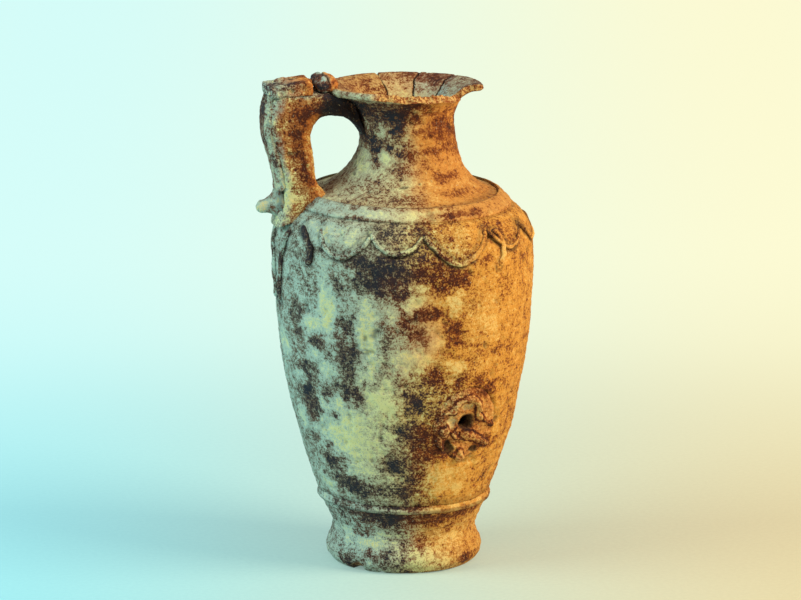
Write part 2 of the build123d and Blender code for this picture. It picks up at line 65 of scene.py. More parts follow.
def grain(points, size, seed):
    """Lattice noise, -1 to 1: hashed values at the corners of cubes of one size, eased by 3t^2 - 2t^3."""
    cell = np.floor(points / size).astype(np.int64)
    ease = points / size - cell
    ease = ease * ease * (3 - 2 * ease)
    total = np.zeros(points.shape[:-1])
    for corner in product((0, 1), repeat=3):
        x, y, z = np.moveaxis(cell + corner, -1, 0)
        mixed = (x * 374761393 + y * 668265263 + z * 1440662683 + seed * 974634777) & 0xFFFFFFFF
        mixed = ((mixed ^ (mixed >> 13)) * 1274126177) & 0xFFFFFFFF
        value = (mixed ^ (mixed >> 16)) / 0x7FFFFFFF - 1
        total += value * np.prod(np.where(corner, ease, 1 - ease), axis=-1)
    return total


def rough(points, size, seed, layers=4):
    """Fractal noise: layers of grain, each half the size of the one before and 0.55 times as strong."""
    return sum(grain(points, size / 2**layer, seed + layer) * 0.55**layer for layer in range(layers))


def soft(low, high, value):
    """0 at low and before it, 1 at high and past it, eased by 3t^2 - 2t^3 between."""
    t = np.clip((value - low) / (high - low), 0, 1)
    return t * t * (3 - 2 * t)


def through(points, step, closed=False):
    """Smooth line through points at an even step: cubics whose slope at a point is half the way between its
    neighbours, sampled finely and then spaced along their length."""
    points = np.array(points, float)
    if closed:
        run = np.concatenate([points[-1:], points, points[:2]])
    else:
        run = np.concatenate([2 * points[:1] - points[1:2], points, 2 * points[-1:] - points[-2:-1]])
    t = np.linspace(0, 1, 40, endpoint=False)[None, :, None]
    a, b, c, d = (run[k:len(run) - 3 + k, None] for k in range(4))
    fine = 0.5 * (2 * b + (c - a) * t + (2 * a - 5 * b + 4 * c - d) * t**2 + (3 * b - a - 3 * c + d) * t**3)
    fine = np.concatenate([fine.reshape(-1, points.shape[1]), run[-2:-1]])
    length = np.concatenate([[0], np.cumsum(np.linalg.norm(np.diff(fine, axis=0), axis=1))])
    even = np.linspace(0, length[-1], max(int(round(length[-1] / step)), 4) + 1)
    if closed:
        even = even[:-1]
    return np.stack([np.interp(even, length, fine[:, k]) for k in range(points.shape[1])], -1)


def turned(section, angles):
    """Grid of points: the half section's (r, z) turned about +Z, (r cos a, r sin a, z) at each angle a."""
    r = section[..., 0] + 0 * angles
    z = section[..., 1] + 0 * angles
    return np.stack([r * np.cos(angles), r * np.sin(angles), z], -1)


def full_turn(count, start=0.0):
    """Angles evenly spaced round a whole turn."""
    return np.linspace(start, start + 2 * math.pi, count, endpoint=False)


def skin(grid, loop):
    """Points and squares of a closed skin over a grid. The columns close into a ring. The rows close too,
    or each end row is drawn to one point in its middle, with triangles written as squares that repeat their
    last corner."""
    rows, columns = grid.shape[:2]
    points = grid.reshape(-1, 3)
    down = np.arange(rows if loop else rows - 1)[:, None] * columns
    across = np.arange(columns)
    below = (down + columns) % (rows * columns)
    beside = (across + 1) % columns
    squares = np.stack(np.broadcast_arrays(down + across, below + across, below + beside, down + beside), -1)
    squares = squares.reshape(-1, 4)
    if loop:
        return points, squares
    pole = np.full(columns, rows * columns)
    last = (rows - 1) * columns
    head = np.stack([across, beside, pole, pole], -1)
    tail = np.stack([beside + last, across + last, pole + 1, pole + 1], -1)
    points = np.concatenate([points, grid[:1].mean(1), grid[-1:].mean(1)])
    return points, np.concatenate([squares, head, tail])


def ring(section, step, turns):
    """Points and squares of a ring: the smooth closed section through its (r, z) points, turned about +Z."""
    line = through(section, step, closed=True)
    return skin(turned(line[:, None], full_turn(turns, -math.pi)), True)


def facing_out(points, faces):
    """The faces with their corners in the order that points outwards: the volume they close is positive."""
    a, b, c, d = np.moveaxis(points[faces], 1, 0)
    volume = np.sum(a * np.cross(b, c)) + np.sum(a * np.cross(c, d))
    return faces if volume > 0 else faces[:, [1, 0, 3, 2]]


def raised(points, faces, relief):
    """Points moved out along their normals, the sums of the area vectors of the faces round each."""
    a, b, c, d = np.moveaxis(points[facing_out(points, faces)], 1, 0)
    area = np.cross(c - a, d - b)
    normal = np.zeros_like(points)
    for corner in facing_out(points, faces).T:
        np.add.at(normal, corner, area)
    normal /= np.maximum(np.linalg.norm(normal, axis=1, keepdims=True), 1e-9)
    relief = np.ravel(relief)
    relief = np.concatenate([relief, np.zeros(len(points) - len(relief))])
    return points + normal * relief[:, None]


def round_the_jug(points):
    """Angle about the axis and distance from it."""
    return np.arctan2(points[..., 1], points[..., 0]), np.hypot(points[..., 0], points[..., 1])


def turn_from(angle, degrees):
    """How far each angle is turned from a direction in degrees, -pi to pi."""
    return (angle - np.radians(degrees) + math.pi) % (2 * math.pi) - math.pi


SINK_SIDE = (34, 150), (-59, -14)       # heights, and the direction of the side that sank there
SINK_DEPTH = (0, 34, 110, 170, 200, 225), (0, 2.2, 1.4, 2.2, 1.2, 0)
SINK_POWER = (34, 150), (1.5, 3)        # how closely the sinking keeps to its side
SINK_RADIUS = 61.6
THROAT_SWAY, THROAT_HEIGHT = 2.0, 204
OVAL = 0.004


def settled(points):
    """The jug as it dried: one side sank by about 2 mm, in front at the foot's joint and on the right at
    the shoulder, the throat leans 2 mm to the right, and the round is 0.4 % oval."""
    angle, r = round_the_jug(points)
    height = points[:, 2]
    side = np.radians(np.interp(height, *SINK_SIDE))
    share = (1 + np.cos(angle - side) * np.minimum(r / SINK_RADIUS, 1)) / 2
    sink = np.interp(height, *SINK_DEPTH) * share ** np.interp(height, *SINK_POWER)
    lean = THROAT_SWAY * np.exp(-((height - THROAT_HEIGHT) / 14) ** 2) * soft(48, 40, r)
    oval = 1 + OVAL * np.cos(2 * angle + 0.6)
    x = points[:, 0] * oval + lean * math.cos(RIGHT)
    y = points[:, 1] * oval + lean * math.sin(RIGHT)
    return np.stack([x, y, height - sink], -1)


STAIN_SIDES = (0, 0, 1.0), (184, -5, 0.85)      # turn, drop and strength of the near stains and the far ones


def stains(points, table, seed):
    """Mask of worn or soaked patches. Each (degrees round, height, half width, half height, strength) fades
    past its ellipse, whose edge is made ragged with noise. Fainter ones lie on the far side, half a turn on
    and lower."""
    angle, r = round_the_jug(points)
    ragged = 0.40 * rough(points, 8, seed) + 0.30 * rough(points, 2.2, seed + 7, 3)
    mask = np.zeros(len(points))
    for degrees, height, wide, tall, strength in table:
        for turn, drop, share in STAIN_SIDES:
            across = turn_from(angle, degrees + turn) * r
            far = np.hypot(across / wide, (points[:, 2] - height - drop) / tall)
            mask = np.maximum(mask, share * strength * soft(1.5, 0.4, far + ragged))
    return mask


# RED_SIDE and GREY_SIDE point at the warm right lamp and the cool left lamp: the red and grey they set
# partly paint those lamps' light.
RED_SIDE, GREY_SIDE = math.radians(-35), math.radians(-172)


def firing_and_lamp_tint(points):
    """How red and how grey the clay is: red round the sunk side, grey round the side with the handle. These
    sides face the warm right lamp and the cool left lamp, so the masks are partly the clay's own tint and
    partly painted warm and cool light.
    """
    angle = round_the_jug(points)[0]
    uneven = 0.22 * rough(points, 30, 71, 3)
    red = soft(0.15, 1.1, np.cos(angle - RED_SIDE) + uneven)
    grey = 0.9 * soft(0.05, 0.95, np.cos(angle - GREY_SIDE) + 0.6 * uneven)
    return {"red": red, "grey": grey}


def srgb(red, green, blue):
    """A colour as it looks on a screen, 0 to 255, as the linear values of a shader socket."""
    part = np.array([red, green, blue]) / 255
    return (*np.where(part <= 0.04045, part / 12.92, ((part + 0.055) / 1.055) ** 2.4).tolist(), 1.0)


def node(tree, kind, inputs, **settings):
    """A shader node with its settings, and each input linked to a socket or set to a value."""
    made = tree.nodes.new("ShaderNode" + kind)
    for key, value in settings.items():
        setattr(made, key, value)
    for key, value in inputs.items():
        if isinstance(value, bpy.types.NodeSocket):
            tree.links.new(value, made.inputs[key])
        else:
            made.inputs[key].default_value = value
    return made


def cloud(tree, place, scale, detail, roughness):
    """Fractal noise over a place, 0 to 1 and mostly near a half."""
    inputs = {"Vector": place, "Scale": scale, "Detail": detail, "Roughness": roughness}
    return node(tree, "TexNoise", inputs).outputs[0]


def math_of(tree, operation, first, second):
    """Sum, product or other arithmetic of two values."""
    return node(tree, "Math", {0: first, 1: second}, operation=operation).outputs[0]


def fade(tree, value, low, high):
    """0 up to low, 1 from high, smooth between."""
    inputs = {"Value": value, "From Min": low, "From Max": high}
    return node(tree, "MapRange", inputs, interpolation_type="SMOOTHSTEP").outputs[0]


def over(tree, share, under, top):
    """One colour laid over another by a share."""
    return node(tree, "Mix", {0: share, 6: under, 7: top}, data_type="RGBA").outputs[2]


def swing(tree, value, weight):
    """A noise about a half as a swing about nothing, of a weight."""
    return math_of(tree, "MULTIPLY", math_of(tree, "SUBTRACT", value, 0.5), weight)


def worn_clay_group():
    """Clay baked in the kiln, with its worn slip. One tone, from dark slip over brown and bare clay to cream
    lime, is the sum of noises of about 17 mm to 0.8 mm and of the masks for lime and slip, so patches break
    up in specks. In some pieces the cream mask also carries a painted highlight and the dark mask painted
    shade. The red mask partly paints warm light and the grey mask partly paints cool light. Fresh breaks,
    a teal grey, dirt in the hollows with painted shade, and chalk lie over it. Each piece brings its masks."""
    tree = bpy.data.node_groups.new("worn_clay", "ShaderNodeTree")
    sockets = (
        ("Buff", "INPUT", "NodeSocketColor"), ("Ochre", "INPUT", "NodeSocketColor"),
        ("Brown", "INPUT", "NodeSocketColor"), ("Mottle", "INPUT", "NodeSocketFloat"),
        ("Colour", "OUTPUT", "NodeSocketColor"), ("Roughness", "OUTPUT", "NodeSocketFloat"),
        ("Height", "OUTPUT", "NodeSocketFloat"),
    )
    for name, way, kind in sockets:
        tree.interface.new_socket(name, in_out=way, socket_type=kind)
    given = tree.nodes.new("NodeGroupInput").outputs
    place = tree.nodes.new("ShaderNodeTexCoord").outputs["Object"]
    wheel = node(tree, "Mapping", {"Vector": place, "Scale": (40.0, 40.0, 1000.0)}).outputs[0]
    mask = {name: node(tree, "Attribute", {}, attribute_name=name).outputs["Fac"]
            for name in ("red", "grey", "cream", "dark", "broken", "grime")}
    blotch = cloud(tree, place, 60, 3, 0.6)
    mottle = cloud(tree, place, 200, 4, 0.65)
    speck = cloud(tree, place, 560, 3, 0.7)
    grit = cloud(tree, place, 1300, 2, 0.6)
    streak = cloud(tree, wheel, 1, 3, 0.6)

    # The red mask warms the colours towards ochre and red-brown; in part it paints the warm light of the
    # right lamp.
    red = fade(tree, math_of(tree, "ADD", mask["red"], swing(tree, blotch, 0.8)), 0.05, 0.95)
    warm = fade(tree, math_of(tree, "ADD", mask["red"], swing(tree, blotch, 0.6)), -0.1, 0.4)
    uneven = swing(tree, blotch, 1.1)
    for noise, weight in ((mottle, 1.7), (speck, 1.8), (grit, 2.0), (streak, 0.6)):
        uneven = math_of(tree, "ADD", uneven, swing(tree, noise, weight))
    calm = math_of(tree, "SUBTRACT", 1.0, math_of(tree, "MULTIPLY", red, 0.46))
    calm = math_of(tree, "SUBTRACT", calm, math_of(tree, "MULTIPLY", mask["grey"], 0.5))
    uneven = math_of(tree, "MULTIPLY", math_of(tree, "MULTIPLY", uneven, calm), given["Mottle"])
    tone = math_of(tree, "ADD", uneven, math_of(tree, "MULTIPLY", mask["cream"], 0.44))
    tone = math_of(tree, "SUBTRACT", tone, math_of(tree, "MULTIPLY", mask["dark"], 0.39))
    tone = math_of(tree, "ADD", tone, math_of(tree, "MULTIPLY", math_of(tree, "SUBTRACT", red, 1.0), 0.06))
    bare = over(tree, red, given["Buff"], given["Ochre"])
    slip = over(tree, warm, srgb(34, 37, 46), srgb(68, 27, 14))
    lime = over(tree, red, srgb(217, 211, 150), srgb(236, 190, 108))
    umber = over(tree, warm, given["Brown"], srgb(132, 66, 24))
    colour = over(tree, fade(tree, tone, -0.46, -0.16), slip, umber)
    colour = over(tree, fade(tree, tone, -0.24, 0.04), colour, bare)
    colour = over(tree, fade(tree, tone, 0.06, 0.36), colour, lime)
    # The grey mask lays a teal grey: partly greyish clay, partly painted cool light from the left lamp.
    grey_and_cool_light_share = math_of(tree, "MULTIPLY", mask["grey"], fade(tree, tone, -0.35, 0.05))
    grey_and_cool_light_share = math_of(tree, "MULTIPLY", grey_and_cool_light_share, fade(tree, tone, 0.5, 0.12))
    grey_and_cool_light = over(tree, fade(tree, tone, -0.3, 0.2), srgb(96, 116, 118), srgb(174, 197, 184))
    colour = over(tree, grey_and_cool_light_share, colour, grey_and_cool_light)
    fresh = math_of(tree, "MULTIPLY", mask["broken"], fade(tree, speck, 0.25, 0.45))
    grains = over(tree, fade(tree, math_of(tree, "ADD", speck, swing(tree, grit, 0.6)), 0.42, 0.62),
                  srgb(136, 66, 26), srgb(226, 176, 104))
    colour = over(tree, fresh, colour, grains)
    # Dark over dirt in hollows, joints and cracks, and over the painted shade that some pieces add to this
    # mask.
    colour = over(tree, math_of(tree, "MULTIPLY", mask["grime"], 0.85), colour, srgb(32, 22, 22))
    colour = over(tree, math_of(tree, "MULTIPLY", fade(tree, grit, 0.6, 0.7), 0.4), colour, srgb(58, 40, 30))
    chalk = cloud(tree, place, 1150, 3, 0.6)
    flecks = math_of(tree, "MULTIPLY", fade(tree, chalk, 0.64, 0.72), 0.4)
    colour = over(tree, flecks, colour, srgb(226, 216, 180))
    dryness = math_of(tree, "ADD", math_of(tree, "MULTIPLY", mottle, 0.3), 0.66)
    height = math_of(tree, "ADD", swing(tree, mottle, 0.6), swing(tree, speck, 0.5))
    height = math_of(tree, "ADD", height, swing(tree, grit, 0.35))
    put = tree.nodes.new("NodeGroupOutput").inputs
    for name, socket in (("Colour", colour), ("Roughness", dryness), ("Height", height)):
        tree.links.new(socket, put[name])
    return tree


worn_clay = worn_clay_group()


def clay(name, buff, ochre, brown, mottle, bump):
    """A material of worn clay with this piece's own colours, as the kiln left them in its place on the jug.
    """
    material = bpy.data.materials.new(name)
    material.use_nodes = True
    tree = material.node_tree
    tree.nodes.clear()
    inputs = {"Buff": srgb(*buff), "Ochre": srgb(*ochre), "Brown": srgb(*brown), "Mottle": mottle}
    group = tree.nodes.new("ShaderNodeGroup")
    group.node_tree = worn_clay
    for key, value in inputs.items():
        group.inputs[key].default_value = value
    bumped = node(tree, "Bump", {"Height": group.outputs["Height"], "Strength": bump, "Distance": 0.5 * MM})
    shader = node(tree, "BsdfPrincipled", {
        "Base Color": group.outputs["Colour"], "Roughness": group.outputs["Roughness"],
        "Normal": bumped.outputs[0], "Specular IOR Level": 0.22,
    })
    node(tree, "OutputMaterial", {"Surface": shader.outputs[0]})
    return material


def mesh_of(name, points, faces):
    """A mesh in metres, facing out, in which a square that repeats its last corner is a triangle."""
    faces = facing_out(points, faces)
    three = faces[:, 2] == faces[:, 3]
    mesh = bpy.data.meshes.new(name)
    mesh.from_pydata((points * MM).tolist(), [], faces[~three].tolist() + faces[three, :3].tolist())
    return mesh


def piece(name, nodes, slot, points, faces, material, **masks):
    """A mesh with its masks as attributes, riding on the jug in place of the solids that it stands for."""
    mesh = mesh_of(name, points, faces)
    mesh.shade_smooth()
    for mask, values in masks.items():
        values = np.broadcast_to(np.asarray(values, np.float32), len(points))
        mesh.attributes.new(mask, "FLOAT", "POINT").data.foreach_set("value", np.ascontiguousarray(values))
    mesh.materials.append(material)
    made = bpy.data.objects.new(name, mesh)
    bpy.context.collection.objects.link(made)
    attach(made, "root")
    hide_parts(*nodes)
    return made


def knocks(points, table):
    """Depth of chips: each (degrees, height, half width, half height, depth) is a rough-sided hollow."""
    angle, r = round_the_jug(points)
    ragged = 0.35 * rough(points, 5, 41)
    depth = np.zeros(len(points))
    for degrees, height, wide, tall, deep in table:
        far = np.hypot(turn_from(angle, degrees) * r / wide, (points[:, 2] - height) / tall)
        depth = np.maximum(depth, deep * soft(1.15, 0.5, far + ragged))
    return depth


FOOT_CLAY = clay("foot_clay", (158, 134, 92), (206, 142, 60), (96, 72, 48), 0.95, 0.7)
points, faces = ring(FOOT_SECTION, FOOT_STEP, FOOT_TURNS)
outside = soft(30, 34, round_the_jug(points)[1]) * soft(0.2, 1.5, points[:, 2])
chips = knocks(points, FOOT_CHIPS)
lumps = 0.35 * rough(points, 11, 3) + 0.10 * rough(points, 2.5, 5, 2)
relief = outside * (lumps + 0.12 * np.sin(points[:, 2] * 1.9))
points = settled(raised(points, faces, relief - chips * soft(24, 30, round_the_jug(points)[1])))
points[:, 2] = np.maximum(points[:, 2], 0)
piece(
    "worn_foot", ["foot"], "foot_clay", points, faces, FOOT_CLAY, **firing_and_lamp_tint(points),
    dark=stains(points, FOOT_DARK_AND_SHADE, 13), cream=stains(points, FOOT_CREAM, 23),
    broken=0.5 * soft(0.5, 2, chips),
    # The foot's top, under the coil, is darkened as painted shade; the chips are darkened with dirt.
    grime=np.maximum(0.8 * soft(30.5, 33, points[:, 2]), 0.6 * soft(1.2, 3, chips)) * outside,
)

# The coil: a thin roll of clay pressed round the joint between foot and body while both were damp. It was
# smoothed with a finger, so it swells and thins as it goes round.
COIL_SECTION = (
    (37.9, 32.6), (40.3, 32.5), (41.1, 32.7), (41.4, 33.3), (41.3, 34.2), (41, 35.4), (40.8, 36.4),
    (39.2, 36.6), (37.9, 36.2),
)
COIL_STEP, COIL_TURNS = 0.42, 360
# Pale bands along the coil's outer lower edge: a painted highlight.
COIL_HIGHLIGHT = (
    (-100, 32.6, 24, 2.0, 0.6), (-128, 32.4, 12, 2.0, 0.5), (-66, 32.6, 18, 2.4, 0.5),
    (-156, 34, 14, 3, 0.3),
)
COIL_DARK = (
    (-138, 34.5, 16, 3, 0.7), (-108, 36, 24, 2.4, 0.8), (-118, 32.4, 6, 2.4, 0.7), (-58, 32.4, 4, 2.0, 0.6),
    (-72, 32.4, 4, 2.0, 0.7),
)

COIL_CLAY = clay("coil_clay", (164, 142, 98), (206, 142, 62), (96, 74, 50), 0.9, 0.6)
points, faces = ring(COIL_SECTION, COIL_STEP, COIL_TURNS)
outside = soft(39.5, 41, round_the_jug(points)[1])
relief = outside * (0.2 * rough(points * (1, 1, 0.3), 13, 31) + 0.16 * rough(points, 2.4, 33, 2))
points = settled(raised(points, faces, relief))
piece(
    "worn_foot_coil", ["foot_coil"], "foot_clay", points, faces, COIL_CLAY, **firing_and_lamp_tint(points),
    cream=stains(points, COIL_HIGHLIGHT, 35), dark=stains(points, COIL_DARK, 37),
    # The coil's underside, below 33 mm, is darkened as painted shade; its hollows hold dirt.
    grime=0.75 * soft(-0.05, -0.6, relief) + 0.6 * soft(33.0, 32.6, points[:, 2]),
)

# The body: an ovoid shell thrown on the wheel, with a spigot under its floor. Its dark slip has worn to
# patches, lime has settled on the front in cream streaks, and inside each loop of the garland the wall
# stands a little proud.
BELLY_TOP, BELLY_FOOT = (61.6, 148.0), (41.0, 36.5)
SHOULDER_FOOT, SHOULDER_TOP = (61.6, 157.0), (51.0, 176.0)
BODY_WALL = 5.0
BODY_TURNS = 392
BODY_ROWS = {"base": 4, "belly": 138, "upright": 11, "shoulder": 42, "seat": 4, "inside": 18}
SWAG_CRESTS = (-148, -120, -95, -61, -33, -7, 19, 45, 70, 96, 121, 148)
SWAG_DROPS = (12, 8, 13, 8.6, 10, 11, 10, 12, 10, 9, 11)
SWAG_POWER, SWAG_SWAY = 1.2, 0.7
CREST_HEIGHT, ABOVE_GARLAND = 171.6, 190
PANEL_PROUD = 0.6
TOOL_AWAY, TOOL_WIDTH = 2.0, 0.9        # distance of the tool's line from the garland, and its half width
RIBBONS = {                 # degrees round and height of the points that each ribbon end passes
    "ribbon_near_handle": ((-160, 170.5), (-154.5, 166), (-150, 160.5), (-150, 156), (-153, 154.5)),
    "ribbon_near_back": ((-168, 167), (-171.5, 157), (-175, 143), (-177, 131)),
    "ribbon_near_front": ((-57.5, 170.5), (-54, 169.5), (-52.3, 166), (-53.5, 160.5), (-57, 154.5)),
    "ribbon_far_front": ((62.5, 170.5), (59, 169.5), (57.3, 166), (58, 160.5), (61, 154.5)),
    "ribbon_far_back": ((168, 167), (171.5, 157), (175, 143), (177, 131)),
    "ribbon_far_handle": ((160, 170.5), (154.5, 166), (150, 160.5), (150, 156), (153, 154.5)),
}
SCAR_DEGREES, SCAR_HEIGHT = -69.6, 78.5
SCAR_REACH, SCAR_DISH = 20.0, 4.2
BODY_CREAM = (
    (-120, 119, 5.5, 23, 1.0), (-112, 92, 9, 11, 1.0), (-117, 80, 9, 8, 0.85), (-131, 71, 19, 11, 1.0),
    (-141, 136, 5, 13, 0.9), (-151, 125, 8, 6, 0.8), (-141, 104, 5, 5, 0.75), (-137, 86, 9, 6, 0.75),
    (-162, 97, 4.5, 3.2, 0.95), (-176, 112, 6, 7, 0.65), (-166, 76, 5, 7, 0.65), (-160, 44, 5, 5, 0.7),
    (-130, 56, 10, 7, 0.65), (-101, 112, 9, 10, 0.6), (-109, 135, 4, 6, 0.75), (-100, 139, 6, 4, 0.75),
    (-81, 140, 4, 8, 0.7), (-79, 106, 7, 6, 0.65), (-74, 50, 13, 8, 0.5), (-88, 120, 4, 5, 0.55),
    (-134, 170, 13, 5, 0.5), (-152, 168, 8, 5, 0.5), (-110, 168, 6, 4, 0.1), (-112, 48, 9, 5, 0.5),
    (-94, 147, 3, 2.5, 0.6), (-150, 110, 5, 4, 0.6), (-124, 104, 4, 6, 0.7), (-62, 128, 8, 12, 0.4),
)
BODY_DARK = (
    (-116, 153, 13, 10, 1.0), (-93, 155, 10, 7, 0.95), (-92, 134, 8, 3.5, 0.9), (-81, 121, 4.5, 10, 0.8),
    (-107, 143, 5, 10, 0.9), (-101, 91, 7, 10, 0.9), (-100, 69, 12, 13, 1.0), (-110, 64, 3.6, 3.6, 1.0),
    (-110, 57, 3.6, 3.2, 1.0), (-129, 91, 5.5, 5, 0.95), (-131, 113, 6, 14, 0.7), (-141, 81, 3.2, 3.2, 0.95),
    (-143, 90, 3.6, 4.2, 0.85), (-149, 64, 3.2, 2.6, 0.95), (-142, 56, 7, 4, 0.8), (-158, 88, 8, 20, 0.72),
    (-137, 45, 10, 6, 0.8), (-88, 82, 6, 4, 0.8), (-62, 94, 9, 5, 0.7), (-56, 66, 8, 3.5, 0.75),
    (-84, 147, 9, 6, 0.8), (-98, 122, 6, 6, 0.6), (-92, 103, 9, 4, 0.75), (-75, 100, 5, 4, 0.6),
    (-86, 66, 5, 9, 0.75), (-112, 44, 14, 3.5, 0.75), (-148, 118, 5, 4, 0.7), (-160, 125, 6, 8, 0.55),
    (-104, 130, 5, 4, 0.75), (-64, 158, 4, 3, 0.6), (-52, 112, 6, 4, 0.45), (-96, 50, 5, 6, 0.6),
    (-124, 158, 10, 5, 0.8), (-108, 170, 8, 4, 0.28), (-137, 146, 6, 5, 0.5), (-120, 98, 3, 3, 0.7),
    (-128, 62, 3, 3, 0.5),
)


def wall_arc(upright, end, share, inset=0.0):
    """Points (r, z) on the arc that stands upright at one point and ends at another, at shares of its
    sweep. Its radius is (spread^2 + rise^2) / (2 spread), and a face set in by a wall's thickness keeps its
    centre."""
    spread, rise = end[0] - upright[0], end[1] - upright[1]
    radius = (spread**2 + rise**2) / (2 * abs(spread))
    side = -math.copysign(1, spread)
    sweep = math.atan2(rise, radius - abs(spread))
    reach = radius - side * inset
    r = upright[0] - side * radius + side * reach * np.cos(sweep * share)
    return np.stack([r, upright[1] + reach * np.sin(sweep * share)], -1)


def straight(start, end, count):
    """Points on a line from one (r, z) to another, without its end."""
    share = np.linspace(0, 1, count, endpoint=False)[:, None]
    return np.array(start) + share * (np.array(end) - np.array(start))


def hang(drop, share):
    """Fall of a loop below its crests at a share t of the way between them: its drop times sin(pi t)^1.2."""
    return drop * np.abs(np.sin(math.pi * share)) ** SWAG_POWER


def garland_height(angle):
    """Height of the garland's lower line at an angle, which hangs from crest to crest. Past the last
    crests, by the handle, there is none, and the height is one above the shoulder."""
    degrees = np.degrees(angle)
    loop = np.clip(np.searchsorted(SWAG_CRESTS, degrees) - 1, 0, len(SWAG_DROPS) - 1)
    start = np.array(SWAG_CRESTS)[loop]
    share = (degrees - start) / (np.array(SWAG_CRESTS)[loop + 1] - start)
    height = CREST_HEIGHT - hang(np.array(SWAG_DROPS)[loop], share)
    return np.where((share >= 0) & (share <= 1), height, ABOVE_GARLAND)


def wall_radius(height):
    """Distance of the body's outer wall from the axis at a height: two arcs and an upright part between."""
    belly = wall_arc(BELLY_TOP, BELLY_FOOT, np.linspace(1, 0, 80))
    shoulder = wall_arc(SHOULDER_FOOT, SHOULDER_TOP, np.linspace(0, 1, 40))
    r, z = np.concatenate([belly, shoulder]).T
    return np.interp(height, z, r)


garland = {}
for loop, drop in enumerate(SWAG_DROPS):
    share = np.linspace(0.02, 0.98, 9)
    degrees = SWAG_CRESTS[loop] + share * (SWAG_CRESTS[loop + 1] - SWAG_CRESTS[loop])
    height = CREST_HEIGHT - hang(drop, share) + SWAG_SWAY * np.sin(5 * share + loop)
    garland[f"swag_{loop + 1:02d}"] = np.stack([degrees, height], -1)
garland.update(RIBBONS)


def lines_beside_cords(points):
    """Dark lines beside the garland: exp(-((d - 2.0) / 0.9)^2) at a distance d over the wall from the
    nearest line, fainter on its upper side."""
    angle, r = round_the_jug(points)
    marks = np.zeros(len(points))
    near = np.flatnonzero((points[:, 2] > 125) & (points[:, 2] < 176) & (r > 50))
    for line in garland.values():
        run = through(np.array(line, float), 0.5)
        rise = points[near, 2, None] - run[:, 1]
        far = np.hypot(turn_from(angle[near, None], run[:, 0]) * r[near, None], rise)
        closest = np.argmin(far, axis=1)[:, None]
        rise = np.take_along_axis(rise, closest, 1)[:, 0]
        mark = np.exp(-((np.min(far, axis=1) - TOOL_AWAY) / TOOL_WIDTH) ** 2)
        marks[near] = np.maximum(marks[near], mark * np.where(rise > 0.3, 0.55, 1.0))
    return marks


def from_scar(points):
    """Distance right and up from the middle of the scar, measured along the wall."""
    angle, r = round_the_jug(points)
    return (angle - math.radians(SCAR_DEGREES)) * r, points[..., 2] - SCAR_HEIGHT


def wall_relief(points):
    """Throwing rings, lumps and shallow pits of the outer wall, with the garland's panels proud by 0.6 mm
    and the line that the tool cut under them."""
    height = points[:, 2]
    above = height - garland_height(round_the_jug(points)[0])
    panel = PANEL_PROUD * soft(-0.6, 0.8, above) * soft(178, 175, height)
    line = 0.7 * np.exp(-((above + TOOL_AWAY) / TOOL_WIDTH) ** 2)
    pits = 0.5 * soft(0.42, 0.75, rough(points, 3.2, 55, 2)) + 0.8 * soft(0.62, 0.85, grain(points, 4.5, 59))
    rings = 0.07 * np.sin(height * 1.35 + 2 * grain(points, 25, 57)) + 0.05 * np.sin(height * 2.9)
    return 0.42 * rough(points, 17, 51) + 0.16 * rough(points, 4.0, 53, 3) + rings - pits + panel - line


BODY_CLAY = clay("body_clay", (182, 147, 78), (214, 148, 60), (100, 80, 56), 0.85, 0.6)
spigot = np.concatenate([
    straight((0.4, 28.5), (19.4, 28.5), 3), straight((20, 29.1), (20, 32.5), 2),
    straight((20, 32.5), (37.7, 32.5), 3), straight((37.7, 32.5), (37.7, 36.5), 2),
    straight((37.7, 36.5), BELLY_FOOT, BODY_ROWS["base"]),
])
wall = np.concatenate([
    wall_arc(BELLY_TOP, BELLY_FOOT, np.linspace(1, 0, BODY_ROWS["belly"], endpoint=False)),
    straight(BELLY_TOP, SHOULDER_FOOT, BODY_ROWS["upright"]),
    wall_arc(SHOULDER_FOOT, SHOULDER_TOP, np.linspace(0, 1, BODY_ROWS["shoulder"])),
])
within = np.concatenate([
    straight((50.4, 176), (29, 176), BODY_ROWS["seat"]), straight((29, 176), (29, 171), 2),
    straight((29, 171), (48.6, 171), 5),
    wall_arc(SHOULDER_FOOT, SHOULDER_TOP, np.linspace(0.9, 0, 9), BODY_WALL),
    wall_arc(BELLY_TOP, BELLY_FOOT, 0.9 * np.linspace(0, 1, BODY_ROWS["inside"]), BODY_WALL),
    ((30, 42), (20, 38.5), (10, 36.9), (0.4, 36.5)),
])
grid = turned(np.concatenate([spigot, wall, within])[:, None], full_turn(BODY_TURNS, -math.pi))
points, faces = skin(grid, False)
first, last = len(spigot), len(spigot) + len(wall)
outside = np.zeros(grid.shape[:2])
outside[first:last] = 1
outside[last - 3:last] *= 0.3
outside = np.concatenate([outside.ravel(), (0, 0)])
beside_cords = outside * lines_beside_cords(points) * soft(-1.0, 0.0, rough(points, 9, 67))
right, up = from_scar(points)
dish = SCAR_DISH * soft(SCAR_REACH - 1.5, SCAR_REACH - 4.5, np.hypot(right, up))
relief = outside * (wall_relief(points) - dish)
points = settled(raised(points, faces, relief))
dirt = outside * np.maximum(0.75 * soft(-0.45, -1.2, relief), 0.3 * soft(39, 37, points[:, 2]))
body = piece(
    "worn_body", ["body"], "body_clay", points, faces, BODY_CLAY, **firing_and_lamp_tint(points),
    cream=stains(points, BODY_CREAM, 61) * outside, dark=stains(points, BODY_DARK, 63) * outside,
    # The inner wall is darkened as painted shade inside the body.
    grime=np.maximum(dirt, 0.9 * beside_cords) + 0.35 * (1 - outside),
)

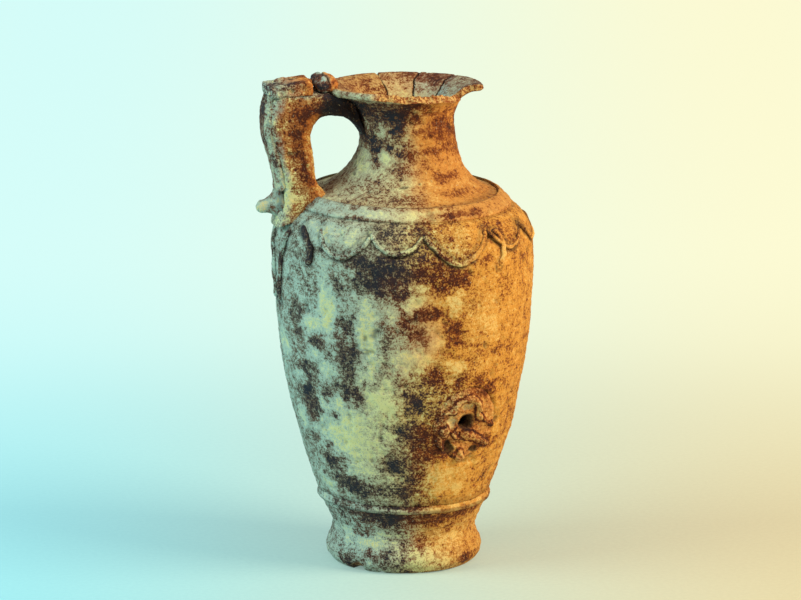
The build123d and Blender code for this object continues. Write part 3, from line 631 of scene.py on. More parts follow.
# The collar: a flat ring of clay laid on the shoulder round the base of the neck, smoothed down to its
# outer edge. Dirt lies in the joint between it and the neck.
COLLAR_SECTION = (
    (44.9, 176.0), (50.6, 176.0), (51.1, 176.8), (50.6, 177.7), (48.9, 179.2), (46.9, 181.2), (45.5, 181.9),
    (44.8, 181.5),
)
COLLAR_STEP, COLLAR_TURNS = 0.42, 380
COLLAR_CREAM = ((-118, 178.5, 16, 2.5, 0.6), (-92, 180, 12, 1.6, 0.5), (-146, 179, 14, 2.5, 0.45))
COLLAR_DARK = (
    (-66, 178, 12, 1.6, 0.6), (-158, 178.5, 12, 3, 0.2), (-142, 179.5, 8, 1.6, 0.2),
    (-128, 177, 10, 1.2, 0.6), (-100, 181.5, 15, 1.0, 0.7),
)

COLLAR_CLAY = clay("collar_clay", (190, 160, 104), (208, 144, 70), (116, 76, 44), 0.65, 0.55)
points, faces = ring(COLLAR_SECTION, COLLAR_STEP, COLLAR_TURNS)
outside = soft(176.2, 177, points[:, 2]) * soft(44.85, 45.4, round_the_jug(points)[1])
relief = outside * (0.3 * rough(points, 9, 73) + 0.12 * rough(points, 2.2, 75, 2))
points = settled(raised(points, faces, relief))
piece(
    "worn_shoulder_collar", ["shoulder_collar"], "neck_clay", points, faces, COLLAR_CLAY, **firing_and_lamp_tint(points),
    cream=stains(points, COLLAR_CREAM, 77), dark=stains(points, COLLAR_DARK, 79),
    grime=np.maximum(0.45 * soft(45.8, 45.0, round_the_jug(points)[1]), 0.7 * soft(-0.15, -0.5, relief)),
)

# The neck: thrown apart and luted on inside the collar. It narrows to the throat and opens to a round
# trumpet mouth, whose lip is whole at the handle, broken away in front and mended with sherds behind.
NECK_BASE, THROAT_LOW = (44.8, 181.0), (22.8, 209.0)
THROAT_HIGH, LIP_END = (22.8, 215.0), (36.4, 228.8)
NECK_WALL = 3.6
MOUTH_LEAN, LEAN_HEIGHT = math.radians(2.9), 212.0
LIP_ROUND = 1.5
NECK_TURNS = 312
NECK_ROWS = {"flare": 76, "throat": 12, "lip": 34, "edge": 12}
SHERD_FOOT = 0.15           # share of the lip at which the sherds start
BREAK_SHARE = (             # share of the lip left below the break, by angle
    (-180, 1), (-129, 1), (-124, 0.92), (-118, 0.81), (-110, 0.73), (-102, 0.68), (-94, 0.70), (-84, 0.66),
    (-74, 0.67), (-64, 0.61), (-54, 0.59), (-44, 0.53), (-33, 0.52), (-24, 0.49), (-17.5, 0.5),
    (-16.5, SHERD_FOOT), (97.5, SHERD_FOOT), (98.5, 1), (180, 1),
)
NECK_CREAM = (
    (-124, 201, 5, 4.5, 1.0), (-150, 215, 6, 5, 0.6), (-156, 198, 8, 6, 0.6), (-137, 213, 4, 5, 0.6),
    (-96, 190, 12, 4, 0.45), (-150, 229.4, 18, 1.4, 0.55), (-170, 229, 9, 1.6, 0.6),
    (-113, 209, 4, 4, 0.6), (-75, 186, 10, 3, 0.35),
)
# Dark patches of slip, and on the near left just under the lip, 214 to 228 mm up, dark patches that paint
# the shadow under the lip.
NECK_DARK_AND_LIP_SHADOW = (
    (-112, 214, 5, 10, 0.9), (-143, 207, 5, 6, 0.85), (-158, 216, 12, 6, 1.0), (-60, 192, 11, 2.4, 0.7),
    (-135, 223, 18, 5, 1.0), (-118, 219, 10, 5, 0.85), (-176, 216, 16, 10, 1.0), (-106, 222, 8, 6, 0.8),
    (-122, 226, 20, 3.4, 0.9), (-138, 229.6, 7, 1.2, 0.9), (-158, 229, 5, 1.4, 0.8),
    (-149, 230.2, 5, 0.9, 0.8), (-128, 229.8, 4, 1.1, 0.8), (-80, 213, 8, 2.5, 0.55),
    (-50, 216, 10, 6, 0.65), (-160, 223, 12, 5, 1.0), (-112, 203, 5, 4, 0.7), (-138, 201, 4, 6, 0.7),
    (-170, 218, 8, 5, 0.9), (-92, 220, 4, 5, 0.6), (-35, 208, 8, 7, 0.5), (-70, 204, 6, 1.6, 0.5),
    (-135, 190, 9, 3, 0.35), (-104, 184, 16, 1.5, 0.25), (-60, 185, 12, 1.5, 0.5),
)


def leaned(points):
    """The mouth leans back: above the throat's middle all turns about a level line there, by an angle that
    eases in over the throat, so that the front of the lip rises and its back drops."""
    turn = MOUTH_LEAN * soft(LEAN_HEIGHT - 4, LEAN_HEIGHT + 4, points[:, 2])
    ahead = points[:, 0] * math.cos(FRONT) + points[:, 1] * math.sin(FRONT)
    rise = points[:, 2] - LEAN_HEIGHT
    shift = ahead * (np.cos(turn) - 1) - rise * np.sin(turn)
    lift = ahead * np.sin(turn) + rise * (np.cos(turn) - 1)
    return points + np.stack([shift * math.cos(FRONT), shift * math.sin(FRONT), lift], -1)


def lip(share, depth):
    """Points (r, z) of the flaring lip at a share of its sweep and a share of the way through its wall."""
    return wall_arc(THROAT_HIGH, LIP_END, share, depth * NECK_WALL)


NECK_CLAY = clay("neck_clay", (186, 158, 104), (206, 138, 62), (118, 74, 40), 0.68, 0.6)
angles = full_turn(NECK_TURNS, -math.pi)
rim = turned(np.array([[[34.0, 224.0]]]), angles)[0]
cut = np.interp(np.degrees(angles), *np.array(BREAK_SHARE).T)
open_break = soft(1.0, 0.9, cut) * (cut > 2 * SHERD_FOOT)
ragged = open_break * (0.035 * rough(rim, 7, 81) + 0.02 * rough(rim, 2.2, 83, 2))
cut = cut + ragged - 0.02 * (1 - open_break) * soft(0.2, 0.7, rough(rim, 6, 85))
spigot = np.concatenate([
    straight((24.8, 172), (28.8, 172), 3), straight((28.8, 172), (28.8, 176), 2),
    straight((28.8, 176), (44.7, 176), 4), straight((44.7, 176), NECK_BASE, 4),
])
flare = np.concatenate([
    wall_arc(THROAT_LOW, NECK_BASE, np.linspace(1, 0, NECK_ROWS["flare"], endpoint=False)),
    straight(THROAT_LOW, THROAT_HIGH, NECK_ROWS["throat"]),
])
bore = np.concatenate([
    straight((19.2, 215), (19.2, 209), 8),
    wall_arc(THROAT_LOW, NECK_BASE, np.linspace(0, 0.448, 14), NECK_WALL),
    straight((24.8, 190), (24.8, 172), 4),
])
rows = np.linspace(0, 1, NECK_ROWS["lip"])[:, None]
edge = np.linspace(0, 1, NECK_ROWS["edge"])[1:-1, None]
face = lip(cut + 0 * edge, edge)
nose = LIP_ROUND * np.sin(math.pi * edge) ** 0.7 * soft(0.9, 1.0, cut)
face = face + np.stack([nose, 0 * nose], -1)
blank = np.zeros((1, NECK_TURNS, 1))
grid = turned(np.concatenate([
    spigot[:, None] + blank, flare[:, None] + blank, lip(rows * cut, 0 * rows), face,
    lip(rows[::-1] * cut, 1 + 0 * rows), bore[:, None] + blank,
]), angles)
points, faces = skin(grid, True)
edge_start = len(spigot) + len(flare) + len(rows)
edge_end = edge_start + len(edge)
outside, inside, broken = np.zeros((3, *grid.shape[:2]))
outside[len(spigot):edge_start] = 1
inside[edge_end:edge_end + len(rows) + 10] = 1
broken[edge_start - 1:edge_end + 1] = open_break
outside, inside, broken = outside.ravel(), inside.ravel(), broken.ravel()
lumps = 0.26 * rough(points, 10, 87) + 0.14 * rough(points, 3, 89, 3) + 0.07 * np.sin(points[:, 2] * 1.7)
relief = outside * (lumps - 0.5 * soft(0.5, 0.8, rough(points, 3, 91, 2)))
relief += inside * (0.16 * rough(points, 7, 93) + 0.06 * np.sin(points[:, 2] * 2.1))
relief += broken * 0.55 * rough(points, 1.5, 95, 2)
points = settled(leaned(raised(points, faces, relief)))
# The red and grey here partly paint the warm light from the right and the cool light from the left.
fired_and_lamp_tint = firing_and_lamp_tint(points)
fired_and_lamp_tint["red"] = np.where(inside > 0, 0.5, fired_and_lamp_tint["red"])
fired_and_lamp_tint["grey"] *= 0.45 * (1 - 0.9 * inside)
# Painted shade inside the mouth, deeper towards the throat.
painted_shade_inside = inside * (0.2 + 0.25 * soft(224, 214, points[:, 2]))
dirt = outside * np.maximum(0.8 * soft(-0.3, -0.8, relief), 0.35 * soft(181.9, 181.1, points[:, 2]))
piece(
    "worn_neck", ["neck"], "neck_clay", points, faces, NECK_CLAY, **fired_and_lamp_tint,
    cream=stains(points, NECK_CREAM, 97) * outside, broken=broken,
    dark=np.maximum(stains(points, NECK_DARK_AND_LIP_SHADOW, 99) * outside, painted_shade_inside),
    # Below 212 mm the inside is darkened further as painted shade down the throat.
    grime=np.maximum(dirt, 0.9 * inside * soft(212, 200, points[:, 2])),
)

# The lip's three sherds: pieces of the broken mouth glued back behind. Their worn edges leave dark cracks
# on the inside, and the right-hand one ends in an open break, where the wall shows in section.
SHERD_GAP = 0.15            # half a crack's width, in mm along the lip
SHERD_NET = (40, 8)         # rows up the lip and through its wall
SHERD_CROOK = 2.6           # degrees by which a crack strays
SHERDS = (                  # name, ends in degrees, and how red, grey and dark its inside is
    ("lip_sherd_right", -17, 33, (0.1, 1.0, 0.6)),
    ("lip_sherd_far_right", 33, 64, (0.25, 0.5, 0.75)),
    ("lip_sherd_far", 64, 98, (0.4, 0.15, 0.5)),
)
BLOCK_CORNERS = np.array(((0, 0), (1, 0), (1, 1), (0, 1)))


def block(*counts):
    """Surface of a block as a net of squares: each point's place along its three ways, 0 to 1, and the
    corners of each square, in the same turning sense all round."""
    squares = []
    for axis, (first, second) in enumerate(((1, 2), (2, 0), (0, 1))):
        net = np.meshgrid(np.arange(counts[first]), np.arange(counts[second]), indexing="ij")
        u, v = (way.ravel() for way in net)
        for end, corners in ((0, BLOCK_CORNERS[:, ::-1]), (counts[axis], BLOCK_CORNERS)):
            square = np.full((u.size, 4, 3), end)
            square[:, :, first] = u[:, None] + corners[:, 0]
            square[:, :, second] = v[:, None] + corners[:, 1]
            squares.append(square)
    places, index = np.unique(np.concatenate(squares).reshape(-1, 3), axis=0, return_inverse=True)
    return places / np.array(counts), index.reshape(-1, 4)


SHERD_CLAY = clay("sherd_clay", (196, 160, 104), (214, 152, 84), (128, 82, 50), 0.6, 0.5)
for name, start, end, (red, grey, dark) in SHERDS:
    places, faces = block(int((end - start) * 1.05), *SHERD_NET)
    along, up, depth = places.T
    open_end = soft(0.03, 0.0, along) if name == "lip_sherd_right" else 0 * along
    crooked = 0
    for crack, nearness in ((start, 1 - 2 * along), (end, 2 * along - 1)):
        way = np.stack([crack + 0 * up, 60 * up, 0 * up], -1)
        crooked = crooked + np.maximum(nearness, 0) * rough(way, 22, 101) * SHERD_CROOK
    reach = lip(SHERD_FOOT + up * (1 - SHERD_FOOT), depth)
    gap = np.degrees(SHERD_GAP / reach[:, 0])
    degrees = start + gap + along * (end - start - 2 * gap) + crooked * soft(0, 0.2, up)
    bulge = LIP_ROUND * np.sin(math.pi * depth) ** 0.7 * soft(0.985, 1.0, up)
    reach = reach + np.stack([bulge, 0 * bulge], -1)
    turn = np.radians(degrees)
    height = reach[:, 1] + 0.25 * (1 - up)
    points = np.stack([reach[:, 0] * np.cos(turn), reach[:, 0] * np.sin(turn), height], -1)
    rubbed = 0.5 * (soft(0.03, 0, along) + soft(0.97, 1, along))
    rubbed = rubbed * (soft(0.8, 1, depth) + soft(0.2, 0, depth))
    chipped = 0.9 * soft(0.25, 0.6, rough(points, 5, 103)) * soft(0.93, 1, up)
    relief = 0.14 * rough(points, 6, 105) + 0.4 * open_end * rough(points, 1.4, 107, 2) - rubbed - chipped
    points = settled(leaned(raised(points, faces, relief)))
    inside = soft(0.6, 0.9, depth)
    mottled = soft(-0.2, 0.5, rough(points, 11, 109))
    crack = np.maximum(soft(0.025, 0.0, along) * (1 - open_end), soft(0.975, 1.0, along))
    piece(
        "worn_" + name, [name], "mended_lip_clay", points, faces, SHERD_CLAY,
        red=np.where(inside > 0.5, red, 0.8), grey=grey * inside * (0.55 + 0.45 * mottled),
        broken=0.95 * open_end,
        dark=dark * (0.4 + 0.6 * mottled) * soft(0.35, 0.75, up) + 0.25 * (1 - inside),
        cream=0.4 * (1 - mottled) * inside * soft(0.7, 0.2, up),
        grime=np.maximum(0.9 * crack, 0.7 * soft(0.05, 0, up)),
    )

# The handle: a thick strap pulled from one lump, luted to the shoulder and collar at its foot and under the
# lip at its top. Its sides are coarse and pitted, darker towards the opening. Its root under the lip is
# painted in shadow, and its redder opening side and greyer back partly paint the warm and cool lamp light.
HANDLE_STATIONS = (         # distance from the axis and height, on its back and on the side of the opening
    ((63.4, 167.0), (37.5, 178.5)), ((62.2, 174.5), (39.8, 182.5)), ((59.8, 186.0), (43.9, 187.6)),
    ((61.6, 196.5), (45.6, 197.0)), ((64.9, 207.0), (46.9, 206.5)), ((66.5, 215.0), (47.4, 211.5)),
    ((66.2, 224.5), (45.6, 216.6)), ((62.5, 230.9), (42.3, 219.8)), ((52.0, 231.5), (38.2, 220.6)),
    ((41.0, 231.2), (32.6, 219.4)), ((33.0, 229.8), (26.4, 215.4)), ((26.5, 228.0), (20.6, 206.0)),
)
HANDLE_HALF_WIDTH = 10.0
HANDLE_SQUARENESS = (0, 0.55, 0.68, 0.84, 1), (5, 7, 9, 5, 2.4)    # along it
HANDLE_TURNS, HANDLE_STEP = 170, 0.55
HANDLE_PITS = (             # place on its side, size, depth
    (-57.4, 211.0, 1.7, 1.3), (-58.0, 203.0, 1.6, 1.0), (-50.0, 197.0, 1.5, 0.8), (-55.5, 221.0, 1.8, 0.9),
)


def squared(turn, power):
    """Rounded square of half side 1 at an angle: cosine and sine, each with its size to the 2 / power."""
    return tuple(np.sign(way) * np.abs(way) ** (2 / power) for way in (np.cos(turn), np.sin(turn)))


def strap(stations, half_width, power, turns, step):
    """Skin of a strap along stations, each with a point on its back and one on its front: the rounded
    square spans from one to the other and across by the half width, with a power that changes along it.
    Also gives each point's share from front to back, across and along."""
    line = through(np.array(stations, float).reshape(-1, 4), step)
    back, front = line[:, None, :2], line[:, None, 2:]
    turn = full_turn(turns)
    along = np.linspace(0, 1, len(line))[:, None]
    deep, wide = squared(turn, np.interp(along, *power))
    place = (back + front) / 2 + (back - front) / 2 * deep[..., None]
    across = half_width * (1 - 0.22 * soft(0.82, 1.0, along)) * wide
    grid = np.stack([-place[..., 0], across, place[..., 1]], -1)
    points, faces = skin(grid, False)
    ways = (deep + 1) / 2, wide, along + 0 * turn
    return points, faces, *(np.concatenate([way.ravel(), (0.5, 0.5)]) for way in ways)


HANDLE_CLAY = clay("handle_clay", (158, 124, 76), (182, 104, 42), (92, 50, 30), 0.95, 1.0)
points, faces, deep, wide, along = strap(
    HANDLE_STATIONS, HANDLE_HALF_WIDTH, HANDLE_SQUARENESS, HANDLE_TURNS, HANDLE_STEP,
)
pit = 0
for x, z, size, depth in HANDLE_PITS:
    pit = pit + depth * soft(size, 0.3 * size, np.hypot(points[:, 0] - x, points[:, 2] - z))
flank = soft(0.75, 0.95, np.abs(wide))
relief = 0.4 * rough(points, 12, 111) + 0.3 * rough(points, 2.6, 113, 3) - pit * flank
points = settled(raised(points, faces, relief))
uneven = rough(points, 9, 115)
footward = soft(0.34, 0.2, along + 0.06 * uneven) * soft(0.3, 0.5, deep)
# Painted shadow over the handle's root, under the lip.
root_shade = soft(-46, -40, points[:, 0] + 2 * uneven) * soft(205, 212, points[:, 2])
near_opening = soft(0.52, 0.36, deep + 0.1 * uneven) * soft(0.14, 0.26, deep + 0.06 * uneven)
near_opening = near_opening * soft(0.1, 0.3, along) * soft(0.98, 0.8, along)
# Redder towards the opening, which faces the warm right lamp, and greyer at the back, which faces the cool
# left lamp: partly painted lamp light.
warm = np.clip(0.55 + 0.3 * uneven + 0.45 * soft(0.45, 0.1, deep), 0, 1) * soft(1.1, 0.7, deep)
slip = 0.62 * footward * soft(-0.02, 0.14, along) * soft(-0.8, 0.2, uneven)
slip = slip + 0.3 * soft(0.16, 0.04, deep) * soft(0.8, 0.7, along)
slip = slip + 0.2 * soft(0.7, 0.95, deep + 0.2 * uneven)
dirt = 0.8 * soft(0.8, 2.2, pit * flank) + 0.6 * soft(-0.45, -0.9, relief)
piece(
    "worn_handle_core", ["handle_core"], "handle_clay", points, faces, HANDLE_CLAY,
    red=warm * (1 - root_shade) * (1 - 0.45 * footward), grey=0.6 * soft(0.7, 1.0, deep + 0.15 * uneven),
    dark=np.clip(1.1 * near_opening + 1.3 * root_shade + 0.2 * uneven, 0, 1.3), cream=np.clip(slip, 0, 1),
    grime=np.clip(dirt + 0.95 * root_shade * soft(0.85, 0.6, deep), 0, 1),
)

# The strip on the handle's back: a flat band of clay pressed on from the bend down to the foot, greyer than
# the strap, partly as painted cool light from the left, with a dark joint along each side.
STRIP_STATIONS = (
    ((62.6, 184.5), (58.0, 186.0)), ((62.9, 189.0), (58.3, 190.0)), ((64.9, 197.0), (60.6, 198.0)),
    ((67.4, 206.0), (62.6, 206.8)), ((68.8, 214.0), (64.0, 214.0)), ((68.5, 224.0), (63.8, 223.5)),
    ((67.4, 230.8), (62.6, 229.6)),
)
STRIP_HALF_WIDTH, STRIP_SQUARENESS = 8.8, ((0, 1), (2.6, 2.6))
STRIP_TURNS, STRIP_STEP = 120, 0.5
STRIP_CLAY = clay("strip_clay", (150, 138, 102), (172, 128, 76), (88, 70, 52), 0.9, 0.8)
points, faces, deep, wide, _ = strap(
    STRIP_STATIONS, STRIP_HALF_WIDTH, STRIP_SQUARENESS, STRIP_TURNS, STRIP_STEP,
)
relief = 0.35 * rough(points, 9, 121) + 0.18 * rough(points, 2.4, 123, 3)
relief = relief - 0.6 * soft(0.5, 0.8, rough(points, 4, 125, 2))
points = settled(raised(points, faces, relief))
uneven = rough(points, 8, 127)
piece(
    "worn_handle_back_strip", ["handle_back_strip"], "handle_clay", points, faces, STRIP_CLAY,
    red=0.25 + 0.2 * uneven, grey=0.5, cream=np.clip(0.35 * soft(-0.4, -0.8, wide) + 0.5 * uneven, 0, 0.7),
    dark=np.clip(0.5 * soft(-0.6, -0.1, wide) - 0.5 * uneven, 0, 0.8),
    grime=np.clip(0.3 * soft(0.4, 0.2, deep) + 0.5 * soft(-0.4, -0.9, relief), 0, 1),
)

# The plate on the bend: a lump of clay flattened onto the top of the strap as a thumb rest. It slopes to
# the back and its corners have chipped.
PLATE_INNER, PLATE_OUTER = 46.3, 66.8
PLATE_FOOT, PLATE_TOP, PLATE_SLOPE = 231.0, 237.9, 2.6
PLATE_HALF_WIDTH = 10.0
PLATE_POWER = 8.0           # of its rounded corners
PLATE_NET = (44, 42, 16)
PLATE_CHIPS = (             # place and size
    (-66.5, -6.0, 232.5, 2.6), (-65.0, -10.0, 235.5, 2.0), (-47.0, -8.0, 237.5, 2.2),
    (-57.0, -10.0, 233.5, 1.6), (-64, 6, 236, 3.0),
)
PLATE_CLAY = clay("plate_clay", (160, 130, 82), (196, 118, 50), (92, 54, 34), 0.95, 0.9)
places, faces = block(*PLATE_NET)
spread = 2 * places - 1
over_middle = np.maximum(spread, (-1, -1, 0))
reach = np.sum(np.abs(over_middle) ** PLATE_POWER, axis=1, keepdims=True) ** (1 / PLATE_POWER)
square = np.max(np.abs(over_middle), axis=1, keepdims=True)
blunt = over_middle / np.maximum(reach, 1e-9) * square + np.minimum(spread, 0) * (0, 0, 1)
away, across, tall = (blunt + 1).T / 2
points = np.stack([
    -(PLATE_INNER + away * (PLATE_OUTER - PLATE_INNER)), (2 * across - 1) * PLATE_HALF_WIDTH,
    PLATE_FOOT + tall * (PLATE_TOP - PLATE_SLOPE * away - PLATE_FOOT),
], -1)
chip = 0
for *place, size in PLATE_CHIPS:
    chip = chip + size * soft(size, 0.2 * size, np.linalg.norm(points - place, axis=1))
relief = 0.7 * rough(points, 9, 131) + 0.35 * rough(points, 3, 133, 3) - 0.7 * chip
points = settled(raised(points, faces, relief))
uneven = rough(points, 7, 135)
# Redder towards the mouth and greyer at the outer end, partly painted warm and cool lamp light; the
# underside is darkened slightly as painted shade, the hollows and chips with dirt.
piece(
    "worn_handle_top_plate", ["handle_top_plate"], "handle_clay", points, faces, PLATE_CLAY,
    red=np.clip(1.0 - 1.1 * away + 0.5 * uneven, 0, 1), grey=np.clip(0.9 * away - 0.15, 0, 1),
    broken=0.35 * soft(0.5, 1.5, chip), cream=np.clip(0.9 * soft(0.4, 1.4, chip) + 0.3 * uneven, 0, 1),
    dark=np.clip(0.3 * soft(0.85, 1, tall) - 0.35 * uneven, 0, 0.7),
    grime=np.clip(0.1 * soft(0.1, 0.0, tall) + 0.7 * soft(-0.4, -1.0, relief + 0.7 * chip), 0, 1),
)

# The roll on the lip: a short roll of clay set across the mouth's edge where the handle meets it, pinched
# into two lobes that stand up like rotelles.
ROLL_MIDDLE, ROLL_HEIGHT = 38.6, 234.9
ROLL_LOBE, ROLL_SPREAD = 3.6, 1.9
ROLL_HALF_LENGTH, ROLL_END = 9.0, 3.0
ROLL_TURNS, ROLL_ROWS = 110, 70
ROLL_CLAY = clay("roll_clay", (176, 150, 104), (206, 126, 58), (104, 54, 34), 0.8, 0.8)
turn = full_turn(ROLL_TURNS)
lobes = ROLL_SPREAD * np.abs(np.cos(turn)) + np.sqrt(ROLL_LOBE**2 - (ROLL_SPREAD * np.sin(turn)) ** 2)
length = np.linspace(-1, 1, ROLL_ROWS)[:, None] * ROLL_HALF_LENGTH
end = np.clip((np.abs(length) - (ROLL_HALF_LENGTH - ROLL_END)) / ROLL_END, 0, 0.995)
pinch = 0.9 * np.exp(-(np.cos(turn) / 0.22) ** 2) * (np.sin(turn) > 0)
size = lobes * np.sqrt(1 - end**2) - pinch
points, faces = skin(np.stack([
    -ROLL_MIDDLE - size * np.cos(turn), length + 0 * turn, ROLL_HEIGHT + size * np.sin(turn),
], -1), False)
relief = 0.55 * rough(points, 5, 141) + 0.2 * rough(points, 2, 143, 2)
points = settled(raised(points, faces, relief))
uneven = rough(points, 5, 145)
mouthward = soft(-ROLL_MIDDLE - 2, -ROLL_MIDDLE + 2, points[:, 0])
between = np.exp(-((points[:, 0] + ROLL_MIDDLE) / 0.9) ** 2)
between = between * soft(ROLL_HEIGHT, ROLL_HEIGHT + 2, points[:, 2])
# Redder on the mouth side and greyer outside: partly painted warm light from the right and cool light from
# the left.
piece(
    "worn_rim_roll", ["rim_roll"], "handle_clay", points, faces, ROLL_CLAY,
    red=np.clip(0.2 + 0.8 * mouthward + 0.4 * uneven, 0, 1), grey=0.9 * (1 - mouthward),
    cream=np.clip(0.5 * uneven, 0, 0.6), dark=np.clip(0.45 * (1 - mouthward) - 0.6 * uneven + 0.2, 0, 0.9),
    grime=np.clip(0.9 * between + 0.8 * soft(232.6, 231.4, points[:, 2]), 0, 1),
)

# The spur: a blunt horn of clay pressed into the back of the handle's foot, a rest for the finger. Its tip
# is rounded and it droops a little.
SPUR_ROOT, SPUR_DROOP = (-61.7, 0.0, 177.5), math.radians(8)
SPUR_LENGTH, SPUR_ROOT_RADIUS, SPUR_TIP_RADIUS = 10.8, 8.4, 3.3
SPUR_TURNS = 90
SPUR_CLAY = clay("spur_clay", (166, 156, 116), (184, 140, 84), (98, 78, 56), 0.75, 0.7)
stem = SPUR_LENGTH - SPUR_TIP_RADIUS
tip = np.linspace(0, 1, 14, endpoint=False) * math.pi / 2
section = np.concatenate([
    ((0.3, -3), (4, -3), (7, -3), (8.3, -2.2), (8.4, -1)),
    wall_arc((SPUR_TIP_RADIUS, stem), (SPUR_ROOT_RADIUS, 0), np.linspace(1, 0, 30)),
    np.stack([SPUR_TIP_RADIUS * np.cos(tip), stem + SPUR_TIP_RADIUS * np.sin(tip)], -1)[1:],
])
points, faces = skin(turned(section[:, None], full_turn(SPUR_TURNS)), False)
relief = (0.4 * rough(points, 6, 151) + 0.16 * rough(points, 2, 153, 2)) * soft(-1, 1, points[:, 2])
points = raised(points, faces, relief)
level, fall = math.cos(SPUR_DROOP), math.sin(SPUR_DROOP)
points = np.stack([
    SPUR_ROOT[0] - points[:, 2] * level + points[:, 0] * fall, points[:, 1],
    SPUR_ROOT[2] - points[:, 2] * fall - points[:, 0] * level,
], -1)
uneven = rough(points, 6, 155)
# Its grey partly paints the cool light from the left, which it faces.
piece(
    "worn_handle_spur", ["handle_spur"], "handle_clay", points, faces, SPUR_CLAY,
    red=0.25 + 0.2 * uneven, grey=0.75, cream=np.clip(0.2 + 0.5 * uneven, 0, 0.6),
    dark=np.clip(0.2 - 0.5 * uneven, 0, 0.7), grime=0.6 * soft(-64.5, -62.0, points[:, 0]),
)

# The garland: thin rolls of clay laid on the damp shoulder in eleven loops from crest to crest, each
# pressed down and tooled along its lower edge, with ribbon ends at the handle and between two loops.
CORD_OUT, CORD_ALONG = 1.2, 1.35
RIBBON_SWELL = 1.35         # how much thicker the ribbon ends are than the loops
CORD_TURNS, CORD_STEP = 26, 0.6
CORD_END = 3.0              # length over which it narrows
RIBBON_DARK = {"ribbon_near_handle": 0.75, "ribbon_near_back": 0.8, "ribbon_near_front": 0.3}


def cord_on_wall(line, swell):
    """Skin of a flattened roll along (degrees, height) points on the wall: an ellipse across the line, half
    sunk, that narrows at both ends by the square root of 1 - t^2 over the last 3 mm."""
    line = np.array(line, float)
    r = wall_radius(line[:, 1])
    path = through(np.stack([np.radians(line[:, 0]) * r, line[:, 1]], -1), CORD_STEP)
    height = path[:, 1]
    angle = path[:, 0] / np.interp(np.linspace(0, 1, len(path)), np.linspace(0, 1, len(r)), r)
    centre = np.stack([wall_radius(height) * np.cos(angle), wall_radius(height) * np.sin(angle), height], -1)
    rise = wall_radius(height + 0.2) - wall_radius(height - 0.2)
    out = np.stack([np.cos(angle), np.sin(angle), -rise / 0.4], -1)
    out /= np.linalg.norm(out, axis=1, keepdims=True)
    ahead = np.gradient(centre, axis=0)
    ahead /= np.linalg.norm(ahead, axis=1, keepdims=True)
    side = np.cross(out, ahead)
    length = np.linspace(0, 1, len(path)) * (len(path) - 1) * CORD_STEP
    near_end = np.clip(1 - np.minimum(length, length[-1] - length) / CORD_END, 0, 0.97)
    size = swell * np.sqrt(1 - near_end**2)[:, None, None]
    turn = full_turn(CORD_TURNS)[None, :, None]
    across = CORD_OUT * np.cos(turn) * out[:, None] + CORD_ALONG * np.sin(turn) * side[:, None]
    return skin(centre[:, None] + size * across, False)


GARLAND_CLAY = clay("garland_clay", (172, 158, 110), (212, 146, 62), (100, 78, 54), 0.9, 0.6)
for seed, (name, line) in enumerate(garland.items()):
    points, faces = cord_on_wall(line, RIBBON_SWELL if name in RIBBONS else 1.0)
    relief = 0.35 * rough(points, 6, 161 + seed) + 0.14 * rough(points, 2, 191, 2)
    points = settled(raised(points, faces, relief))
    uneven = rough(points, 10, 193)
    proud = round_the_jug(points)[1] - wall_radius(points[:, 2])
    dark = np.clip(RIBBON_DARK.get(name, 0.1) - 0.5 * uneven, 0, 0.9)
    # The cord is darkened where it meets the wall, as painted shade at its foot.
    piece(
        "worn_" + name, [name], "garland_clay", points, faces, GARLAND_CLAY, **firing_and_lamp_tint(points),
        cream=np.clip(0.12 + 0.5 * uneven, 0, 0.6) * soft(0.3, 0.9, proud),
        dark=np.maximum(0.7 * stains(points, BODY_DARK, 63), dark), grime=0.8 * soft(0.7, 0.2, proud),
    )

# The scar: the root of a relief or spout that was luted to the wall and broke away. Torn ridges and crusts
# of its clay stand round a small hole that goes through the wall.
SCAR_HOLE = (3.9, 3.5)      # half width and half height of the hole
SCAR_TURNS, SCAR_ROWS = 330, 62
SCAR_RIDGES = (             # points right and up of the hole, height, half width
    (((-8.5, 7), (-6.5, 11), (-1, 12.8), (4, 10.5), (6.5, 6), (7, 2.5)), 2.6, 1.7),
    (((-17, 1.5), (-13, 5.5), (-9, 7)), 1.9, 1.4), (((3, -6), (8, -8.5), (12, -11), (16, -12.5)), 2.2, 1.9),
    (((-7, -3.5), (-4, -6.8), (2, -7.2)), 1.6, 1.3), (((8, 1), (12, -1.5), (16.5, -4)), 1.2, 1.3),
    (((-14, -7), (-11, -12), (-6.5, -15.5)), 1.5, 1.5),
)
SCAR_LUMPS = (              # right and up of the hole, half width, half height, height over the wall
    (-12, -3, 4.6, 3.6, 2.0), (-2.5, -16.5, 3.3, 4.2, 2.5), (11.5, -10.5, 3.5, 2.4, 1.4),
    (0.8, -6.6, 3.8, 2.6, 2.4),
)
SCAR_HOLLOWS = (            # the same, and depth
    (-8.2, -12.5, 2.4, 4.6, 3.2), (0.5, 8, 4.6, 2.0, 1.6), (6.5, -14, 3.0, 2.4, 1.6),
    (-8.0, -0.5, 2.4, 3.6, 1.6),
)
DRILL_ENDS, DRILL_SPARE, DRILL_TURNS = (-14.0, 8.0), 0.7, 60


